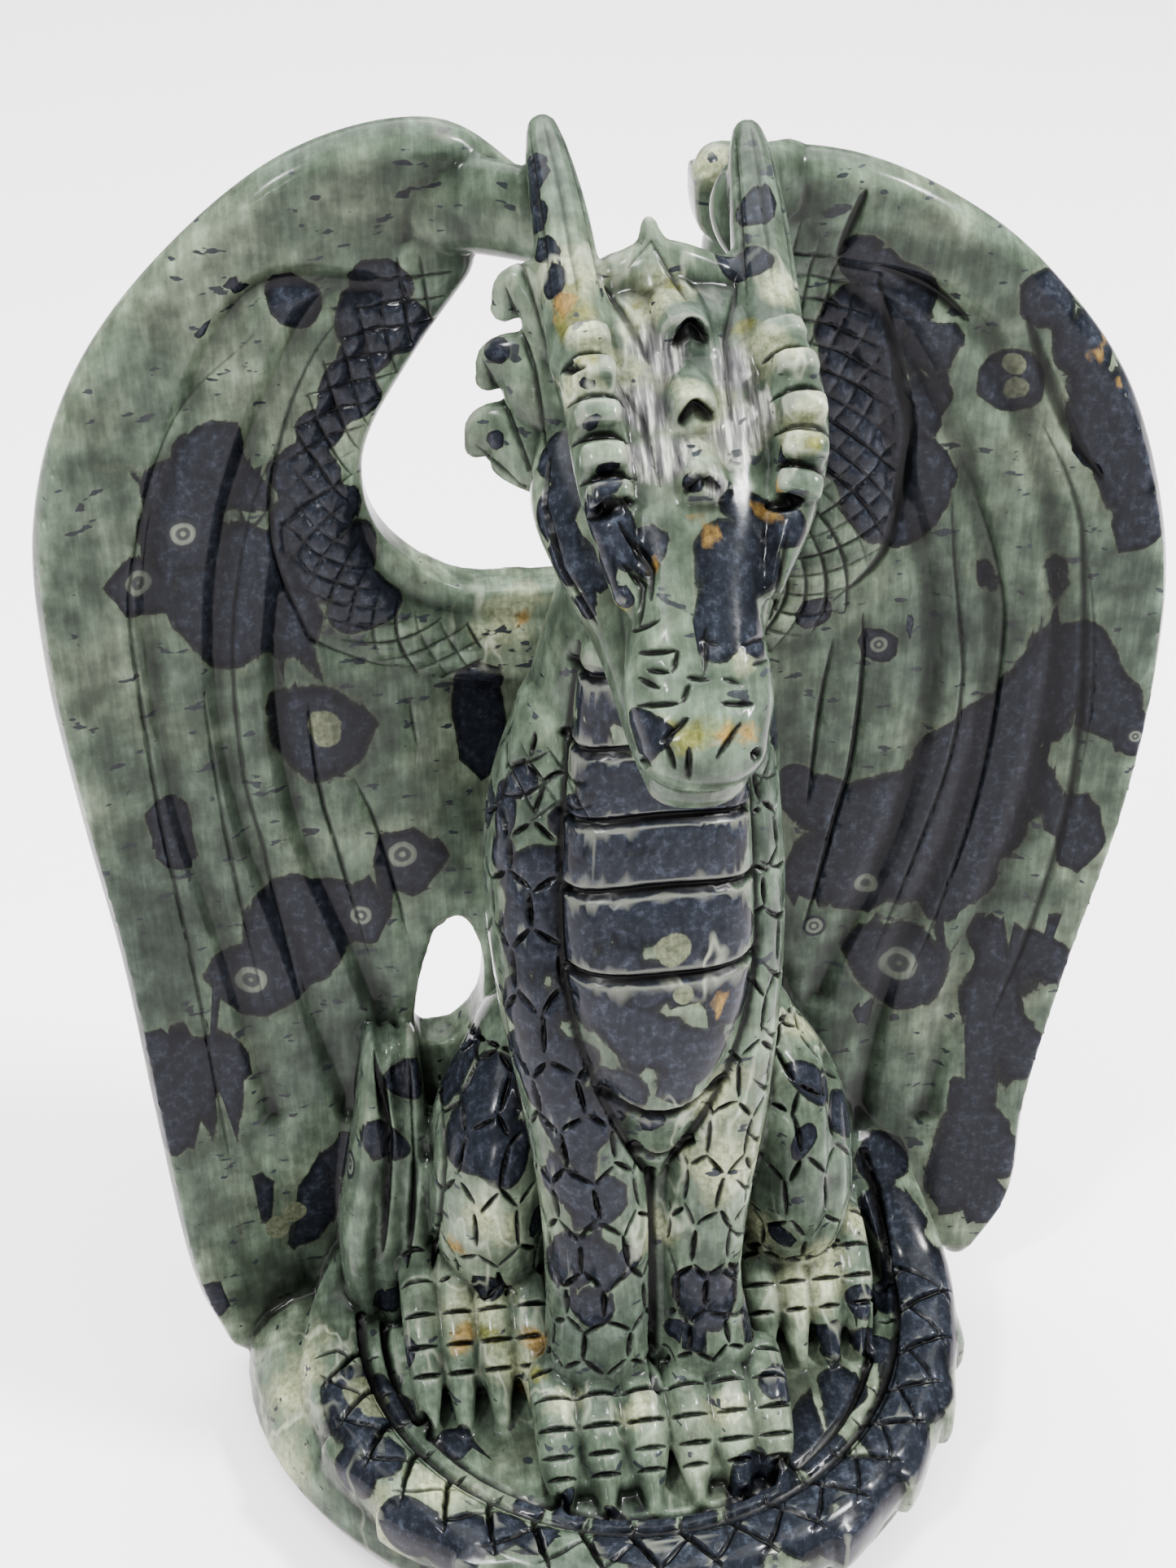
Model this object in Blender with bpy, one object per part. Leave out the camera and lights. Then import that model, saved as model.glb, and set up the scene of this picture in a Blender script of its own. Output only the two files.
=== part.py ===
"""Winged dragon carved from one piece of orbicular jasper.

The dragon sits upright on a round rock base, wings raised behind it and tail curled round its paws.
Sizes are in millimetres. +X is the viewer's right, -Y the dragon's front and +Z up, and the origin is
on the flat underside, below the middle of the round platform that the paws stand on.
"""

import math

import bmesh
import bpy
import numpy as np
from mathutils import Vector
from mathutils.bvhtree import BVHTree

MM = 0.001

# Driving sizes
FIGURE_HEIGHT = 157.0
PLATFORM_TOP = 13.0
PLATFORM_RADIUS = 33.0
RING_WIDTH = 2.6
RING_HEIGHT = 1.5
TAIL_WIDTH = 9.4
TAIL_HEIGHT = 9.6
BASE_MARGIN = -1.5
BASE_LEAN = 9.5
WING_THICKNESS = 5.6
RIM_THICKNESS = 5.6
FLUTE_WIDTH = 5.6
FLUTE_DEPTH = 0.8
CUT_WIDTH = 2.2
CUT_DEPTH = 1.1

# Surface fineness
DETAIL = 1
VOXEL = 0.85
POLISH_STEPS = 4
TRIANGLES = 9600

# The figure's own points are shares of its height above the platform, written for this height
MODEL_HEIGHT = 157.0
UNIT = FIGURE_HEIGHT / MODEL_HEIGHT
# The body sits this far to the viewer's right of the platform's middle
BODY_OFFSET = 2.5 * UNIT

# The tail lies against the ring, a little below the platform's top
TAIL_OVERLAP = 0.6
TAIL_SINK = 1.5
TAIL_RADIUS = PLATFORM_RADIUS + RING_WIDTH + TAIL_WIDTH / 2 - TAIL_OVERLAP
TAIL_LEVEL = PLATFORM_TOP - TAIL_SINK
TAIL_ROOT_DEGREES = 5
TAIL_END_DEGREES = -176
# Where the tail leaves the back and where it ends: shares of its radius right and back, then height above
# its level, half width and half depth
TAIL_START = ((0.2, 0.53, 36, 9, 8), (0.555, 0.53, 28, 7.5, 7), (0.83, 0.415, 15, 5.9, 6))
TAIL_FINISH = ((-0.962, 0.151, 1.5, 4.2, 4.6), (-0.874, 0.277, 6, 3.5, 4.3))
# How far the tail is raised where it comes down onto the base, and over how many degrees
TAIL_RISE = 4.5
TAIL_RISE_DEGREES = 16
# Outer plates of the tail: degrees between them, and (degrees back, outward, half width) along each
PLATE_DEGREES = 16
PLATE = ((3, -2.9, 1.6), (-4, -2.1, 1.9), (-10, -1.3, 2.0), (-14.5, -0.7, 1.9))
PLATE_HALF_HEIGHT = 3.8
LEFT, RIGHT = -1, 1
FRONT, UP = Vector((0, -1, 0)), Vector((0, 0, 1))
CROWN = Vector((0, -0.62, 0.78))

# How far back the middle of the wings lies at each height above the platform, and how far their edges
# cup forward
SHEET_DEPTH = ((-18, 14), (10, 18), (37, 22), (77, 28), (112, 31), (137, 30), (159, 26))
SHEET_CUP = 9.0
SHEET_HALF_WIDTH = 66.0

# A wing's outline from the horn over the top and down to the tip: distance from the centre line, and height
WING_RIM = {
    LEFT: (
        (11, 148), (20, 154.5), (34, 152), (48, 141.5), (58, 129), (63.5, 114), (64.5, 97),
        (63, 77), (60.5, 55), (59, 32), (57, 7), (53.5, -6),
    ),
    RIGHT: (
        (14, 150), (28, 148.5), (40, 143), (50, 135), (60, 122), (66, 104), (67, 87),
        (65, 67), (60, 44), (56, 22), (55, 7), (50.5, -3),
    ),
}
# The arm that carries a wing, from the shoulder round the opening to the top, and its half width
WING_ARM = {
    LEFT: ((5, 90), (17, 92), (27, 96.5), (33, 108), (31.5, 121), (25.5, 132), (18.5, 142)),
    RIGHT: ((5, 92), (15, 93), (24, 96.5), (29, 106), (28.4, 119), (24.5, 131), (17, 142)),
}
ARM_HALF = {LEFT: 4.8, RIGHT: 6.6}
# The edge of the opening between a wing and the neck, from the back of the horn down to the shoulder
OPENING = {
    LEFT: (
        (9, 160), (10, 144), (15, 141.5), (19.5, 138), (23, 129), (27.5, 118), (26, 108), (18, 100.5),
        (8, 99),
    ),
    RIGHT: (
        (9, 160), (10, 144), (14, 141.5), (18, 137), (20, 128), (21.5, 118), (20, 109), (15, 102), (8, 99),
    ),
}
# The bridge from a wing's top to the back of the horn
WING_JOIN = {
    LEFT: ((21.5, 27, 147, 5, 3), (16, 24, 148, 5.4, 3), (9.5, 18, 148.5, 5, 2.6)),
    RIGHT: ((17, 27, 148, 4.6, 3), (13, 23, 148.6, 4.8, 2.8), (10, 17, 147.5, 5, 2.6)),
}
# The small opening between the left wing and the flank
FLANK_OPENING = ((22.5, 53), (19, 54.5), (16.5, 49), (17, 41), (21, 36.5), (25.5, 37.5), (25, 45))
# Each finger runs from the wing's top to its lower edge, at these shares of the way from the arm to the rim
FINGER_SHARES = (0.2, 0.45, 0.72)
FINGER_ROOT = (23, 138)

# Torso, neck and front panel: distance right, distance back, height above the platform, then half width
# and half depth
TORSO = (
    (0, 13, 0, 18, 15), (0, 10, 20, 18, 15), (0, 6, 38, 16.5, 15), (0, 5, 56, 16, 14.8),
    (0, 6.5, 74, 15.5, 13.5), (0, 8, 88, 15.5, 12.5), (0, 8, 100, 13, 11.5), (0, 5.5, 112, 10.2, 11),
    (0, 3, 124, 9.5, 10.5), (0, 3, 133, 9, 9),
)
SPINE = (
    (0, 24, -4, 13, 7), (0, 23, 25, 12, 8), (0, 22, 55, 11, 8), (0, 20, 80, 10, 7.5),
    (0, 17, 97, 8, 7), (0, 13, 112, 6.5, 6), (0, 11, 126, 5.5, 5.5), (0, 9, 138, 5, 5),
)
PANEL = (
    (0, -1, 108, 8.8, 4.5), (-0.3, -1.7, 94, 10, 4.8), (-0.6, -4, 80, 11, 5.4),
    (-0.6, -6, 70, 11, 6.2), (-0.7, -7.2, 62, 9.8, 6.4), (-0.8, -7.8, 54, 7.4, 6),
    (-0.9, -7.8, 46, 4.2, 5), (-1, -7.4, 39, 1.4, 3.4),
)
# Heights of the cuts across the front panel, and how far each cut's middle rises
PANEL_CUTS = ((105.5, 1.5), (96.5, 1.5), (88, 1.5), (79.6, 1.5), (70, 0.5), (53.7, -3.5), (44, -2.5))
FRONT_LEG = {
    LEFT: (
        (9.5, 7, 94, 6, 7), (11.5, 5, 84, 7.4, 8), (11.8, 2.5, 73, 8, 8.8), (11, -2, 60, 7.8, 8.6),
        (9.8, -5.5, 47, 6.9, 7.6), (8.4, -8.5, 34, 6.8, 6.8), (7.9, -11, 21, 6.9, 6.2), (8.2, -13, 10, 7, 6),
    ),
    RIGHT: (
        (8, 7, 94, 5.6, 7), (9, 5, 84, 6, 8), (9.4, 2.5, 73, 6.2, 8.8), (9, -2, 60, 5.8, 8.6),
        (7.6, -5.5, 47, 5.7, 7.6), (5.8, -8.5, 34, 5.4, 6.8), (4.8, -11, 21, 5.2, 6.2), (5.6, -13, 10, 6, 6),
    ),
}
# The web of stone between the front legs, set back from their fronts
LEG_WEB = ((-1, 0, 40, 6, 8), (-1.6, -5, 28, 4, 7), (-1.8, -9, 12, 4, 7))
FRONT_TOE = (
    (0, -15, 7.4, 2.7, 3), (0, -21, 6.2, 2.75, 3.3), (0, -26, 3.2, 2.4, 2.9), (0, -30.6, 0.3, 0.9, 1.3),
)
FRONT_TOE_PLACES = {LEFT: (3.6, 9.4, 15), RIGHT: (2, 7.4, 12.4)}
THIGH = (
    (16, 14, 39, 5.5, 8), (19.2, 9, 31, 7.6, 11), (20.2, 6, 21, 8, 11.5), (20, 6, 12, 7.6, 10),
)
HIND_TOE = ((0, 4, 10.5, 2.6, 3.6), (0, -3, 9.3, 2.6, 3.6), (0, -9, 5.8, 2.4, 3.4), (0, -15.2, 1.2, 1.2, 1.9))
HIND_TOE_PLACES = {LEFT: (16.3, 21.1, 25.9, 30.4), RIGHT: (14.5, 18.9, 23.3, 27.6)}
# How far a hind foot is set back from the places above
HIND_FOOT_BACK = {LEFT: 0, RIGHT: 4.5}
# The sole below a foot's toes: half depth, distance below the toes, and how far it passes the outer toes
FOOT_DEPTH = 3.6
FOOT_DROP = 3.2
FOOT_SPREAD = 1.2

# Head, from the crown forward and down to the nose
SKULL = (
    (0.2, 9, 142, 9, 7), (0.5, 0, 139.5, 9.6, 7.2), (0.6, -7.5, 135, 9.2, 6.6), (0.2, -14.5, 130.3, 8.2, 6.2),
    (-0.7, -21.8, 124.5, 6.6, 5.6), (-1.1, -28, 119.2, 7.1, 5.3), (-1.3, -32, 116, 6.1, 4.9),
)
JAW = (
    (0, 6, 131, 11, 6.5), (-0.7, -3, 128, 13.5, 6.5), (-0.9, -10, 124, 11.8, 6), (-1.1, -17.5, 118.5, 8.3, 5),
    (-1.3, -25, 113.5, 6.3, 4), (-1.4, -30, 111.2, 5, 3.4),
)
BROW = {
    LEFT: (
        (8.6, -2, 143.5, 3, 3.4), (8.6, -8.5, 141, 2.9, 3.4), (8.6, -13.5, 137.2, 2.7, 3.3),
        (8.2, -18, 132.8, 2.2, 2.8), (7.6, -22, 128, 1.2, 2),
    ),
    RIGHT: (
        (10.2, -2, 143.2, 3, 3.4), (11, -8.5, 140.5, 2.9, 3.3), (10.8, -13.5, 136.8, 2.7, 3.2),
        (9.2, -18, 132.6, 2.2, 2.8), (7, -22, 128, 1.2, 2),
    ),
}
HORN = {
    LEFT: (
        (8.8, -4, 142.5, 3.4, 3.6), (9.0, 4, 147, 3.2, 3.4), (9.2, 12, 151.5, 2.9, 3.1),
        (9.5, 19, 154.8, 2.3, 2.5), (9.6, 22.4, 156.4, 1.7, 1.7),
    ),
    RIGHT: (
        (9.8, -4, 142, 3.4, 3.6), (10.4, 4, 146.5, 3.2, 3.4), (11, 12, 150.6, 2.9, 3.1),
        (11.4, 18.5, 153.8, 2.3, 2.5), (11.6, 21.4, 155.2, 1.7, 1.7),
    ),
}
CREST = (
    (-10, 5, 144, 4.0, 2.2), (-5, 4.5, 145, 4.4, 2.2), (-0.5, 4, 147, 4.6, 2.4),
    (5, 4.5, 145, 4.4, 2.2), (10, 5, 144, 4, 2.2),
)
CREST_SPIKE = ((-0.4, 1, 143, 3.6, 3.2), (-0.8, 3.2, 148.5, 2.4, 2), (-1.2, 5.4, 152.6, 0.9, 1))
# Steps of the ridge down the forehead: distance back and height of each end, and half width
SCUTES = (
    ((3, 146.4), (-6, 145.3), 2.6),
    ((-7.2, 141.6), (-12.8, 140.4), 2.2),
    ((-13.8, 136.8), (-18.8, 135.4), 2.1),
)
# Blocks along a brow: how many, and their half length, half width and half height
BROW_BLOCKS = 5
BROW_BLOCK = (1.05, 2.3, 1.5)
# Height and reach of each lobe of the mane
MANE_TIPS = {
    LEFT: ((145, 15.6), (137.5, 17.4), (130, 18.8)),
    RIGHT: ((145, 13), (137.5, 12.6), (130, 12.6)),
}
# One lobe: distance out from its reach, distance back, height above its own, half width and half depth
MANE_LOBE = ((-5, 5.5, -0.5, 4.6, 2.6), (-1.8, 7, 0.5, 3.2, 1.7), (0, 7.4, -1.5, 1.4, 1.1))
MANE_ROOT = (7, 2, -3, 3.8, 3.4)
# Strands of the tail's tuft: share of the tail's radius from the middle, and lean to the right
TUFT_STRANDS = ((-0.882, 2.0), (-0.793, 1.2), (-0.705, 0.6))
TUFT_STATIONS = ((0, 7.5, 3, 2.6, 5), (0, 8.5, 15, 2.8, 6), (1, 11.5, 27, 2.5, 6), (1.7, 14.5, 40, 1.5, 4))
# One spike of the back's ridge, from the point it stands on: distance back, height, half width and half depth
SPIKE = ((-2, 1.5, 2, 3), (0.5, 0, 1.4, 2), (2.2, -1.6, 0.7, 1))
# The rock's outline from underside to top: shares of its reach and of the platform's height
BASE_PROFILE = (
    (0.93, -0.15), (0.97, 0.08), (1.0, 0.35), (0.98, 0.62), (0.93, 0.85), (0.87, 0.97), (0.8, 1.0),
)
BASE_LEAN_DEGREES = 165


def catmull_rom(points, steps):
    """Points along a smooth curve through the given points, which may have any number of coordinates."""
    p = np.array(points, float)
    p = np.vstack([2 * p[0] - p[1], p, 2 * p[-1] - p[-2]])
    t = np.linspace(0, 1, steps, endpoint=False)[:, None]
    spans = []
    for a, b, c, d in zip(p, p[1:], p[2:], p[3:]):
        spans.append(
            0.5 * (2 * b + (c - a) * t + (2 * a - 5 * b + 4 * c - d) * t**2 + (3 * b - a - 3 * c + d) * t**3)
        )
    return np.vstack(spans + [p[-2:-1]])


def frames(stations, facing, steps):
    """Frames along a limb, as (centre, along, side, depth, half width, half depth)."""
    rows = catmull_rom(stations, steps if steps == 1 else steps * DETAIL)
    centres = [Vector(row[:3]) for row in rows]
    limb = []
    for i, row in enumerate(rows):
        along = (centres[min(i + 1, len(centres) - 1)] - centres[max(i - 1, 0)]).normalized()
        depth = (Vector(facing) - along * along.dot(facing)).normalized()
        limb.append((centres[i], along, along.cross(depth), depth, row[3], row[4]))
    return limb


def tube(bm, stations, facing=FRONT, steps=5, around=20, square=2.0, ends=(1.0, 1.0)):
    """Adds a closed limb. A station is (x, y, z, half width, half depth), half depth being along facing.

    square is the section's superellipse power, and ends are the lengths of the rounded caps in half depths.
    """
    limb = frames(stations, facing, steps)
    section = []
    for i in range(around * DETAIL):
        angle = 2 * math.pi * i / (around * DETAIL)
        c, s = math.cos(angle), math.sin(angle)
        section.append((math.copysign(abs(c) ** (2 / square), c), math.copysign(abs(s) ** (2 / square), s)))

    def ring(at, shift=0.0, share=1.0):
        centre, along, side, depth, wide, deep = at
        middle = centre + along * (shift * deep)
        side, depth = side * (wide * share), depth * (deep * share)
        return [bm.verts.new((middle + side * c + depth * s) * MM) for c, s in section]

    def tip(at, length):
        return bm.verts.new((at[0] + at[1] * (length * at[5])) * MM)

    turns = [math.radians(30 * k / DETAIL) for k in range(1, 3 * DETAIL)]
    first = tip(limb[0], -ends[0])
    rings = [ring(limb[0], -math.sin(t) * ends[0], math.cos(t)) for t in turns[::-1]]
    rings += [ring(at) for at in limb]
    rings += [ring(limb[-1], math.sin(t) * ends[1], math.cos(t)) for t in turns]
    skin(bm, first, rings, tip(limb[-1], ends[1]))


def skin(bm, first, rings, last):
    """Faces that join rings of vertices in order, closed by one vertex at each end."""
    for k in range(len(rings[0])):
        n = (k + 1) % len(rings[0])
        for a, b in zip(rings, rings[1:]):
            bm.faces.new((a[k], a[n], b[n], b[k]))
        bm.faces.new((first, rings[0][n], rings[0][k]))
        bm.faces.new((last, rings[-1][k], rings[-1][n]))


def placed(stations, side=RIGHT):
    """Stations given from the body's centre line and the platform's top, in the carving's own frame."""
    return [
        (BODY_OFFSET + side * x * UNIT, y * UNIT, PLATFORM_TOP + z * UNIT, wide * UNIT, deep * UNIT)
        for x, y, z, wide, deep in stations
    ]


def sheet_y(x, z):
    """How far back the middle of the wing sheet lies, with z from the underside."""
    table = catmull_rom(SHEET_DEPTH, 6)
    depth = np.interp((z - PLATFORM_TOP) / UNIT, table[:, 0], table[:, 1])
    return (depth - SHEET_CUP * (x / UNIT / SHEET_HALF_WIDTH) ** 2) * UNIT


def wing_points(points, side, steps=4):
    """A smooth (x, z) curve on one wing, from points given as distance out and height above the platform."""
    return [(side * x * UNIT, PLATFORM_TOP + z * UNIT) for x, z in catmull_rom(points, steps * DETAIL)]


def wing_curve(points, side, wide, deep, offset=0.0):
    """Stations of a tube that follows a curve on one wing."""
    return [(x, sheet_y(x, z) + offset, z, wide, deep) for x, z in wing_points(points, side)]


def finger(side, share):
    """The line of one wing finger, from the arm's top down, at its share of the way out to the rim."""
    points = [FINGER_ROOT]
    for x, z in WING_RIM[side][3:10]:
        inner = 19 + 15 * math.sin(math.pi * min(max((z - 40) / 100, 0), 1))
        points.append((inner + (x - 4 - inner) * share, z - 6 * (1 - share)))
    return points


def new_object(name, bm):
    mesh = bpy.data.meshes.new(name)
    bm.to_mesh(mesh)
    bm.free()
    obj = bpy.data.objects.new(name, mesh)
    bpy.context.scene.collection.objects.link(obj)
    return obj


def baked(obj):
    """The object with its modifiers applied."""
    graph = bpy.context.evaluated_depsgraph_get()
    mesh = bpy.data.meshes.new_from_object(obj.evaluated_get(graph))
    obj.modifiers.clear()
    obj.data = mesh
    return obj


def prism(outline, low, high):
    """An object: the (x, z) outline extruded along Y from low to high."""
    bm = bmesh.new()
    bm.faces.new([bm.verts.new((x * MM, low * MM, z * MM)) for x, z in outline])
    grown = bmesh.ops.extrude_face_region(bm, geom=bm.faces[:])["geom"]
    moved = [item for item in grown if isinstance(item, bmesh.types.BMVert)]
    bmesh.ops.translate(bm, vec=(0, (high - low) * MM, 0), verts=moved)
    bmesh.ops.recalc_face_normals(bm, faces=bm.faces[:])
    return new_object("prism", bm)


def cut(obj, cutter, operation):
    modifier = obj.modifiers.new(operation.lower(), "BOOLEAN")
    modifier.operation = operation
    modifier.object = cutter
    baked(obj)
    bpy.data.objects.remove(cutter)


def wing_sheet():
    """Both wings in one curved sheet, cut to their outline and pierced beside the neck and the flanks."""
    step = 2.5 / DETAIL
    half = (SHEET_HALF_WIDTH + 4) * UNIT
    top = PLATFORM_TOP + (MODEL_HEIGHT + 2) * UNIT
    xs = np.arange(-half, half + step, step)
    zs = np.arange(-3, top, step)
    bm = bmesh.new()
    grids = []
    for sign in (-1, 1):
        offset = sign * WING_THICKNESS / 2
        rows = [[(x, sheet_y(x, z) + offset, z) for z in zs] for x in xs]
        grids.append([[bm.verts.new(Vector(point) * MM) for point in row] for row in rows])
    for i in range(len(xs) - 1):
        for j in range(len(zs) - 1):
            for grid in grids:
                bm.faces.new((grid[i][j], grid[i + 1][j], grid[i + 1][j + 1], grid[i][j + 1]))
    bmesh.ops.bridge_loops(bm, edges=[edge for edge in bm.edges if edge.is_boundary])
    bmesh.ops.recalc_face_normals(bm, faces=bm.faces[:])
    sheet = new_object("sheet", bm)
    low, high = -40 * UNIT, 90 * UNIT
    outline = wing_points(WING_RIM[LEFT], LEFT)[::-1] + wing_points(WING_RIM[RIGHT], RIGHT)
    cut(sheet, prism(outline, low, high), "INTERSECT")
    neck = wing_points(OPENING[RIGHT], RIGHT) + wing_points(OPENING[LEFT], LEFT)[::-1]
    cut(sheet, prism(neck, low, high), "DIFFERENCE")
    flank = wing_points(FLANK_OPENING + FLANK_OPENING[:1], LEFT, 3)[:-1]
    cut(sheet, prism(flank, low, high), "DIFFERENCE")
    return sheet


def wings(bm):
    """The wing sheet with its rounded edges, the scaly arms inside it and the low fingers on its back."""
    sheet = wing_sheet()
    bm.from_mesh(sheet.data)
    bpy.data.objects.remove(sheet)
    for side in (LEFT, RIGHT):
        rim = [(x - 1.4, z) for x, z in WING_RIM[side]]
        tube(bm, wing_curve(rim, side, 2.4, RIM_THICKNESS / 2), steps=1, around=12)
        arm = wing_curve(WING_ARM[side], side, ARM_HALF[side] * UNIT, WING_THICKNESS / 2 + 1.2)
        tube(bm, arm, steps=1, around=20, square=3)
        for share in FINGER_SHARES:
            back = wing_curve(finger(side, share), side, 2.6 * UNIT, 2.2, WING_THICKNESS / 2 - 1.3)
            tube(bm, back, steps=1, around=12)
        tube(bm, placed(WING_JOIN[side], side), around=14)


def body(bm):
    tube(bm, placed(TORSO), around=28)
    tube(bm, placed(SPINE))
    tube(bm, placed(PANEL), square=2.6)
    tube(bm, placed(LEG_WEB))
    rows = catmull_rom(SPINE, 3)
    for x, y, z, _, deep in rows[3:]:
        spike = [(x, y + deep + back, z + up, wide, thick) for back, up, wide, thick in SPIKE]
        tube(bm, placed(spike), around=10)


def foot(bm, side, toe, places):
    """Toes side by side on one flat foot, which ends before their claws."""
    for place in places:
        tube(bm, placed([(place, *row[1:]) for row in toe], side), facing=UP, around=12, square=2.3)
    middle = (places[0] + places[-1]) / 2
    half = (places[-1] - places[0]) / 2 + FOOT_SPREAD
    sole = [(middle, y, z - FOOT_DROP, half, FOOT_DEPTH) for _, y, z, _, _ in toe[:-1]]
    tube(bm, placed(sole, side), facing=UP, square=3, ends=(1, 0.6))


def front_leg(bm, side):
    tube(bm, placed(FRONT_LEG[side], side), square=2.3)
    foot(bm, side, FRONT_TOE, FRONT_TOE_PLACES[side])


def hind_leg(bm, side):
    tube(bm, placed(THIGH, side))
    toe = [(x, y + HIND_FOOT_BACK[side], z, wide, deep) for x, y, z, wide, deep in HIND_TOE]
    foot(bm, side, toe, HIND_TOE_PLACES[side])


def head(bm):
    tube(bm, placed(SKULL), facing=CROWN, square=2.5, around=24, ends=(0.8, 0.8))
    tube(bm, placed(JAW), facing=CROWN, square=2.5, around=24, ends=(0.8, 0.8))
    tube(bm, placed(CREST), around=12)
    tube(bm, placed(CREST_SPIKE), around=10)
    for side in (LEFT, RIGHT):
        tube(bm, placed(BROW[side], side), facing=CROWN, around=14)
        tube(bm, placed(HORN[side], side), facing=CROWN, around=14)
        brow_blocks(bm, side)
        for z, reach in MANE_TIPS[side]:
            x, y, up, wide, deep = MANE_ROOT
            lobe = [(x, y, z + up, wide, deep)]
            lobe += [(reach + x, y, z + up, wide, deep) for x, y, up, wide, deep in MANE_LOBE]
            tube(bm, placed(lobe, side), around=12)
    for (y0, z0), (y1, z1), wide in SCUTES:
        middle = (0.6, (y0 + y1) / 2, (z0 + z1) / 2, wide, 2.6)
        ridge = [(0.4, y0, z0, wide * 0.7, 2.2), middle, (0.7, y1, z1, wide, 3)]
        tube(bm, placed(ridge), facing=CROWN, around=12, square=2.6, ends=(1, 0.1))


def brow_blocks(bm, side):
    """Short blocks in a row along a brow, with gaps between them."""
    half_length, half_width, half_height = BROW_BLOCK
    rows = frames(BROW[side][:-1], CROWN, 8)
    for i in range(BROW_BLOCKS):
        centre, along, _, depth, _, deep = rows[round((i + 0.5) / BROW_BLOCKS * (len(rows) - 1))]
        middle = centre + depth * (deep - 0.2)
        block = [(*(middle + along * way), half_width, half_height) for way in (-half_length, half_length)]
        tube(bm, placed(block, side), facing=CROWN, steps=2, around=12, square=3, ends=(0.25, 0.1))


def tail(bm):
    """The tail, from the back on the right, round the platform's edge to its tuft on the left."""
    stations = tail_ends(TAIL_START)
    for degrees in range(TAIL_ROOT_DEGREES, TAIL_END_DEGREES, -15):
        rise = TAIL_RISE * UNIT * math.exp(-(((degrees - TAIL_ROOT_DEGREES) / TAIL_RISE_DEGREES) ** 2))
        stations.append((*on_ring(degrees), TAIL_LEVEL + rise, TAIL_WIDTH / 2, TAIL_HEIGHT / 2))
    tube(bm, stations + tail_ends(TAIL_FINISH), facing=UP, steps=3, around=18, square=2.4)
    for degrees in range(PLATE_DEGREES, TAIL_END_DEGREES + PLATE_DEGREES, -PLATE_DEGREES):
        plate(bm, degrees)
    for share, lean in TUFT_STRANDS:
        strand = [
            (share * TAIL_RADIUS + x * lean * UNIT, y * UNIT, TAIL_LEVEL + z * UNIT, wide * UNIT, deep * UNIT)
            for x, y, z, wide, deep in TUFT_STATIONS
        ]
        tube(bm, strand, around=12)


def tail_ends(table):
    """Stations of the tail off the ring, from shares of its radius and heights above its level."""
    return [
        (x * TAIL_RADIUS, y * TAIL_RADIUS, TAIL_LEVEL + z * UNIT, wide * UNIT, deep * UNIT)
        for x, y, z, wide, deep in table
    ]


def on_ring(degrees, outward=0.0):
    """A point (x, y) of the circle that the tail lies on, or outward from it."""
    angle = math.radians(degrees)
    return (TAIL_RADIUS + outward) * math.cos(angle), (TAIL_RADIUS + outward) * math.sin(angle)


def plate(bm, degrees):
    """One long plate on the tail's outer side, which flares towards the tail's tip and ends in a step."""
    points = []
    for turn, outward, wide in PLATE:
        x, y = on_ring(degrees + turn, TAIL_WIDTH / 2 + outward)
        points.append((x, y, TAIL_LEVEL - 0.4, wide, PLATE_HALF_HEIGHT))
    tube(bm, points, facing=UP, around=14, square=3, ends=(0.5, 0.12))


def base(bm):
    """The rock below the platform, which reaches further on the left, and the low ring round the platform."""
    edge = TAIL_RADIUS + TAIL_WIDTH / 2 + BASE_MARGIN
    rings = []
    for share, height in BASE_PROFILE:
        z = height * PLATFORM_TOP
        rings.append([])
        for degrees in range(0, 360, 5):
            lean = max(0, math.cos(math.radians(degrees - BASE_LEAN_DEGREES))) ** 3
            x, y = on_ring(degrees, share * (edge + BASE_LEAN * lean) - TAIL_RADIUS)
            rings[-1].append(bm.verts.new((x * MM, y * MM, z * MM)))
    bottom = bm.verts.new((0, 0, BASE_PROFILE[0][1] * PLATFORM_TOP * MM))
    top = bm.verts.new((0, 0, PLATFORM_TOP * MM))
    skin(bm, bottom, rings, top)
    ring_middle = PLATFORM_RADIUS + RING_WIDTH / 2 - TAIL_RADIUS
    loop = [
        (*on_ring(degrees, ring_middle), PLATFORM_TOP, RING_WIDTH / 2, RING_HEIGHT)
        for degrees in range(0, 372, 6)
    ]
    tube(bm, loop, facing=UP, steps=1, around=10)


def fused():
    """Every form above as one closed skin, polished, with nothing left inside it."""
    bm = bmesh.new()
    base(bm)
    tail(bm)
    body(bm)
    for side in (LEFT, RIGHT):
        front_leg(bm, side)
        hind_leg(bm, side)
    head(bm)
    wings(bm)
    carving = new_object("dragon_carving", bm)
    remesh = carving.modifiers.new("fuse", "REMESH")
    remesh.mode = "VOXEL"
    remesh.voxel_size = VOXEL * MM
    baked(carving)
    keep_outer_skin(carving)
    return carving


def keep_outer_skin(obj):
    """Removes every shell but the largest, so that no space is left sealed inside."""
    bm = bmesh.new()
    bm.from_mesh(obj.data)
    shells = []
    waiting = set(bm.verts)
    while waiting:
        seed = waiting.pop()
        shell, edge = [seed], [seed]
        while edge:
            near = [e.other_vert(v) for v in edge for e in v.link_edges]
            edge = list({v for v in near if v in waiting})
            waiting.difference_update(edge)
            shell.extend(edge)
        shells.append(shell)
    shells.sort(key=len)
    bmesh.ops.delete(bm, geom=[v for shell in shells[:-1] for v in shell], context="VERTS")
    bm.to_mesh(obj.data)
    bm.free()


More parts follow.
